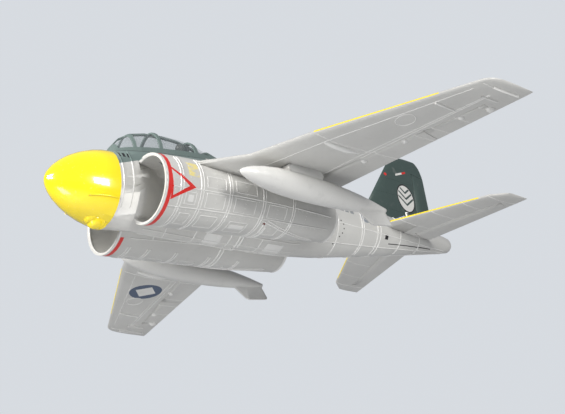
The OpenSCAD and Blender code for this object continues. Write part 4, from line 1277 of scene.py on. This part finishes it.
# ---- Studio ----
@dataclass(frozen=True)
class Studio:
    """Camera, floor and soft light."""

    eye: tuple[float, float, float] = (0.8711, -0.8039, -0.5127)
    right: tuple[float, float, float] = (0.6311, 0.7657, -0.1241)
    down: tuple[float, float, float] = (-0.4198, 0.2025, -0.8848)
    lens: float = 71.63
    floor_z: float = -1.15
    floor_wide: float = 40.0
    floor_glow: float = 0.3
    fill: float = 0.32
    fill_tint: Rgb = (0.9, 0.93, 1.0)
    backdrop: Rgb = (0.68, 0.71, 0.75)
    # Each lamp: its name, place, size, power and tint
    lamps: tuple[tuple[str, Rgb, float, float, Rgb], ...] = (
        ("key", (0.1, -1.7, 0.55), 0.7, 44.0, (1.0, 0.98, 0.95)),
        ("side", (1.9, -0.2, 0.35), 0.6, 24.0, (1.0, 0.99, 0.97)),
        ("under", (0.2, -1.3, -1.0), 0.6, 6.0, (0.97, 0.98, 1.0)))

    def camera(self) -> None:
        """Places the camera under the port bow, looking up."""
        right, up = Vector(self.right).normalized(), -Vector(self.down)
        back = right.cross(up).normalized()
        up = back.cross(right)
        data = bpy.data.cameras.new("camera")
        data.lens = self.lens
        data.sensor_width = 36.0
        data.clip_start = 0.01
        camera = bpy.data.objects.new("camera", data)
        camera.matrix_world = Matrix.Translation(self.eye) @ Matrix((right, up, back)).transposed().to_4x4()
        bpy.context.scene.collection.objects.link(camera)
        bpy.context.scene.camera = camera

    def lamp(self, name: str, place: Sequence[float], size: float, power: float, tint: Rgb) -> None:
        """Adds a square soft light that faces the aircraft."""
        data = bpy.data.lights.new(name, "AREA")
        data.size = size
        data.energy = power
        data.color = tint
        lamp = bpy.data.objects.new(name, data)
        lamp.location = place
        lamp.rotation_euler = (Vector((0.0, 0.0, 0.08)) - Vector(place)).to_track_quat("-Z", "Y").to_euler()
        bpy.context.scene.collection.objects.link(lamp)

    def floor(self) -> None:
        """A wide pale floor well under the aircraft."""
        mesh = bpy.data.meshes.new("floor")
        corners = ((-1, -1), (1, -1), (1, 1), (-1, 1))
        mesh.from_pydata([(x * self.floor_wide, y * self.floor_wide, self.floor_z) for x, y in corners],
                         [], [(0, 1, 2, 3)])
        s = Shader("floor_paper")
        colour = s.mix(s.noise(3.0), rgba((0.8, 0.81, 0.82)), rgba((0.84, 0.84, 0.84)))
        paper = s.finish(colour, 0.8, None, 0.0)
        glow = next(n for n in paper.node_tree.nodes if n.bl_idname == "ShaderNodeBsdfPrincipled")
        rays = paper.node_tree.nodes.new("ShaderNodeLightPath")
        paper.node_tree.links.new(rays.outputs["Is Camera Ray"], glow.inputs["Emission Color"])
        glow.inputs["Emission Strength"].default_value = self.floor_glow
        mesh.materials.append(paper)
        floor = bpy.data.objects.new("floor", mesh)
        bpy.context.scene.collection.objects.link(floor)

    def world(self) -> None:
        """Pale surroundings that light the aircraft evenly."""
        world = bpy.data.worlds.new("studio")
        world.use_nodes = True
        tree = world.node_tree
        fill = tree.nodes["Background"]
        fill.inputs["Color"].default_value = rgba(self.fill_tint)
        fill.inputs["Strength"].default_value = self.fill
        seen = tree.nodes.new("ShaderNodeBackground")
        seen.inputs["Color"].default_value = rgba(self.backdrop)
        rays = tree.nodes.new("ShaderNodeLightPath")
        mixed = tree.nodes.new("ShaderNodeMixShader")
        tree.links.new(rays.outputs["Is Camera Ray"], mixed.inputs[0])
        tree.links.new(fill.outputs[0], mixed.inputs[1])
        tree.links.new(seen.outputs[0], mixed.inputs[2])
        tree.links.new(mixed.outputs[0], tree.nodes["World Output"].inputs[0])
        bpy.context.scene.world = world

    def build(self) -> None:
        """Sets the whole stage."""
        self.camera()
        self.floor()
        self.world()
        for lamp in self.lamps:
            self.lamp(*lamp)
        bpy.context.scene.view_settings.view_transform = "Standard"


def main() -> None:
    """Builds the aircraft's dress, piece by piece, and the stage."""
    logging.basicConfig(level=logging.INFO, format="%(name)s %(message)s")
    for thing in [o for o in bpy.data.objects if o.name in ("Cube", "Light", "Camera")]:
        bpy.data.objects.remove(thing)
    skins = Skins()
    skins.dress()
    ridges = Ridges(skins)
    nacelles = Nacelles(skins, ridges)
    tubes = Tubes()
    nacelles.build(tubes)
    Turret(ridges, tubes).build()
    Wings(skins, ridges).build()
    RivetRows(skins, Dots(), nacelles).build()
    Studio().build()


if __name__ == "__main__":
    main()
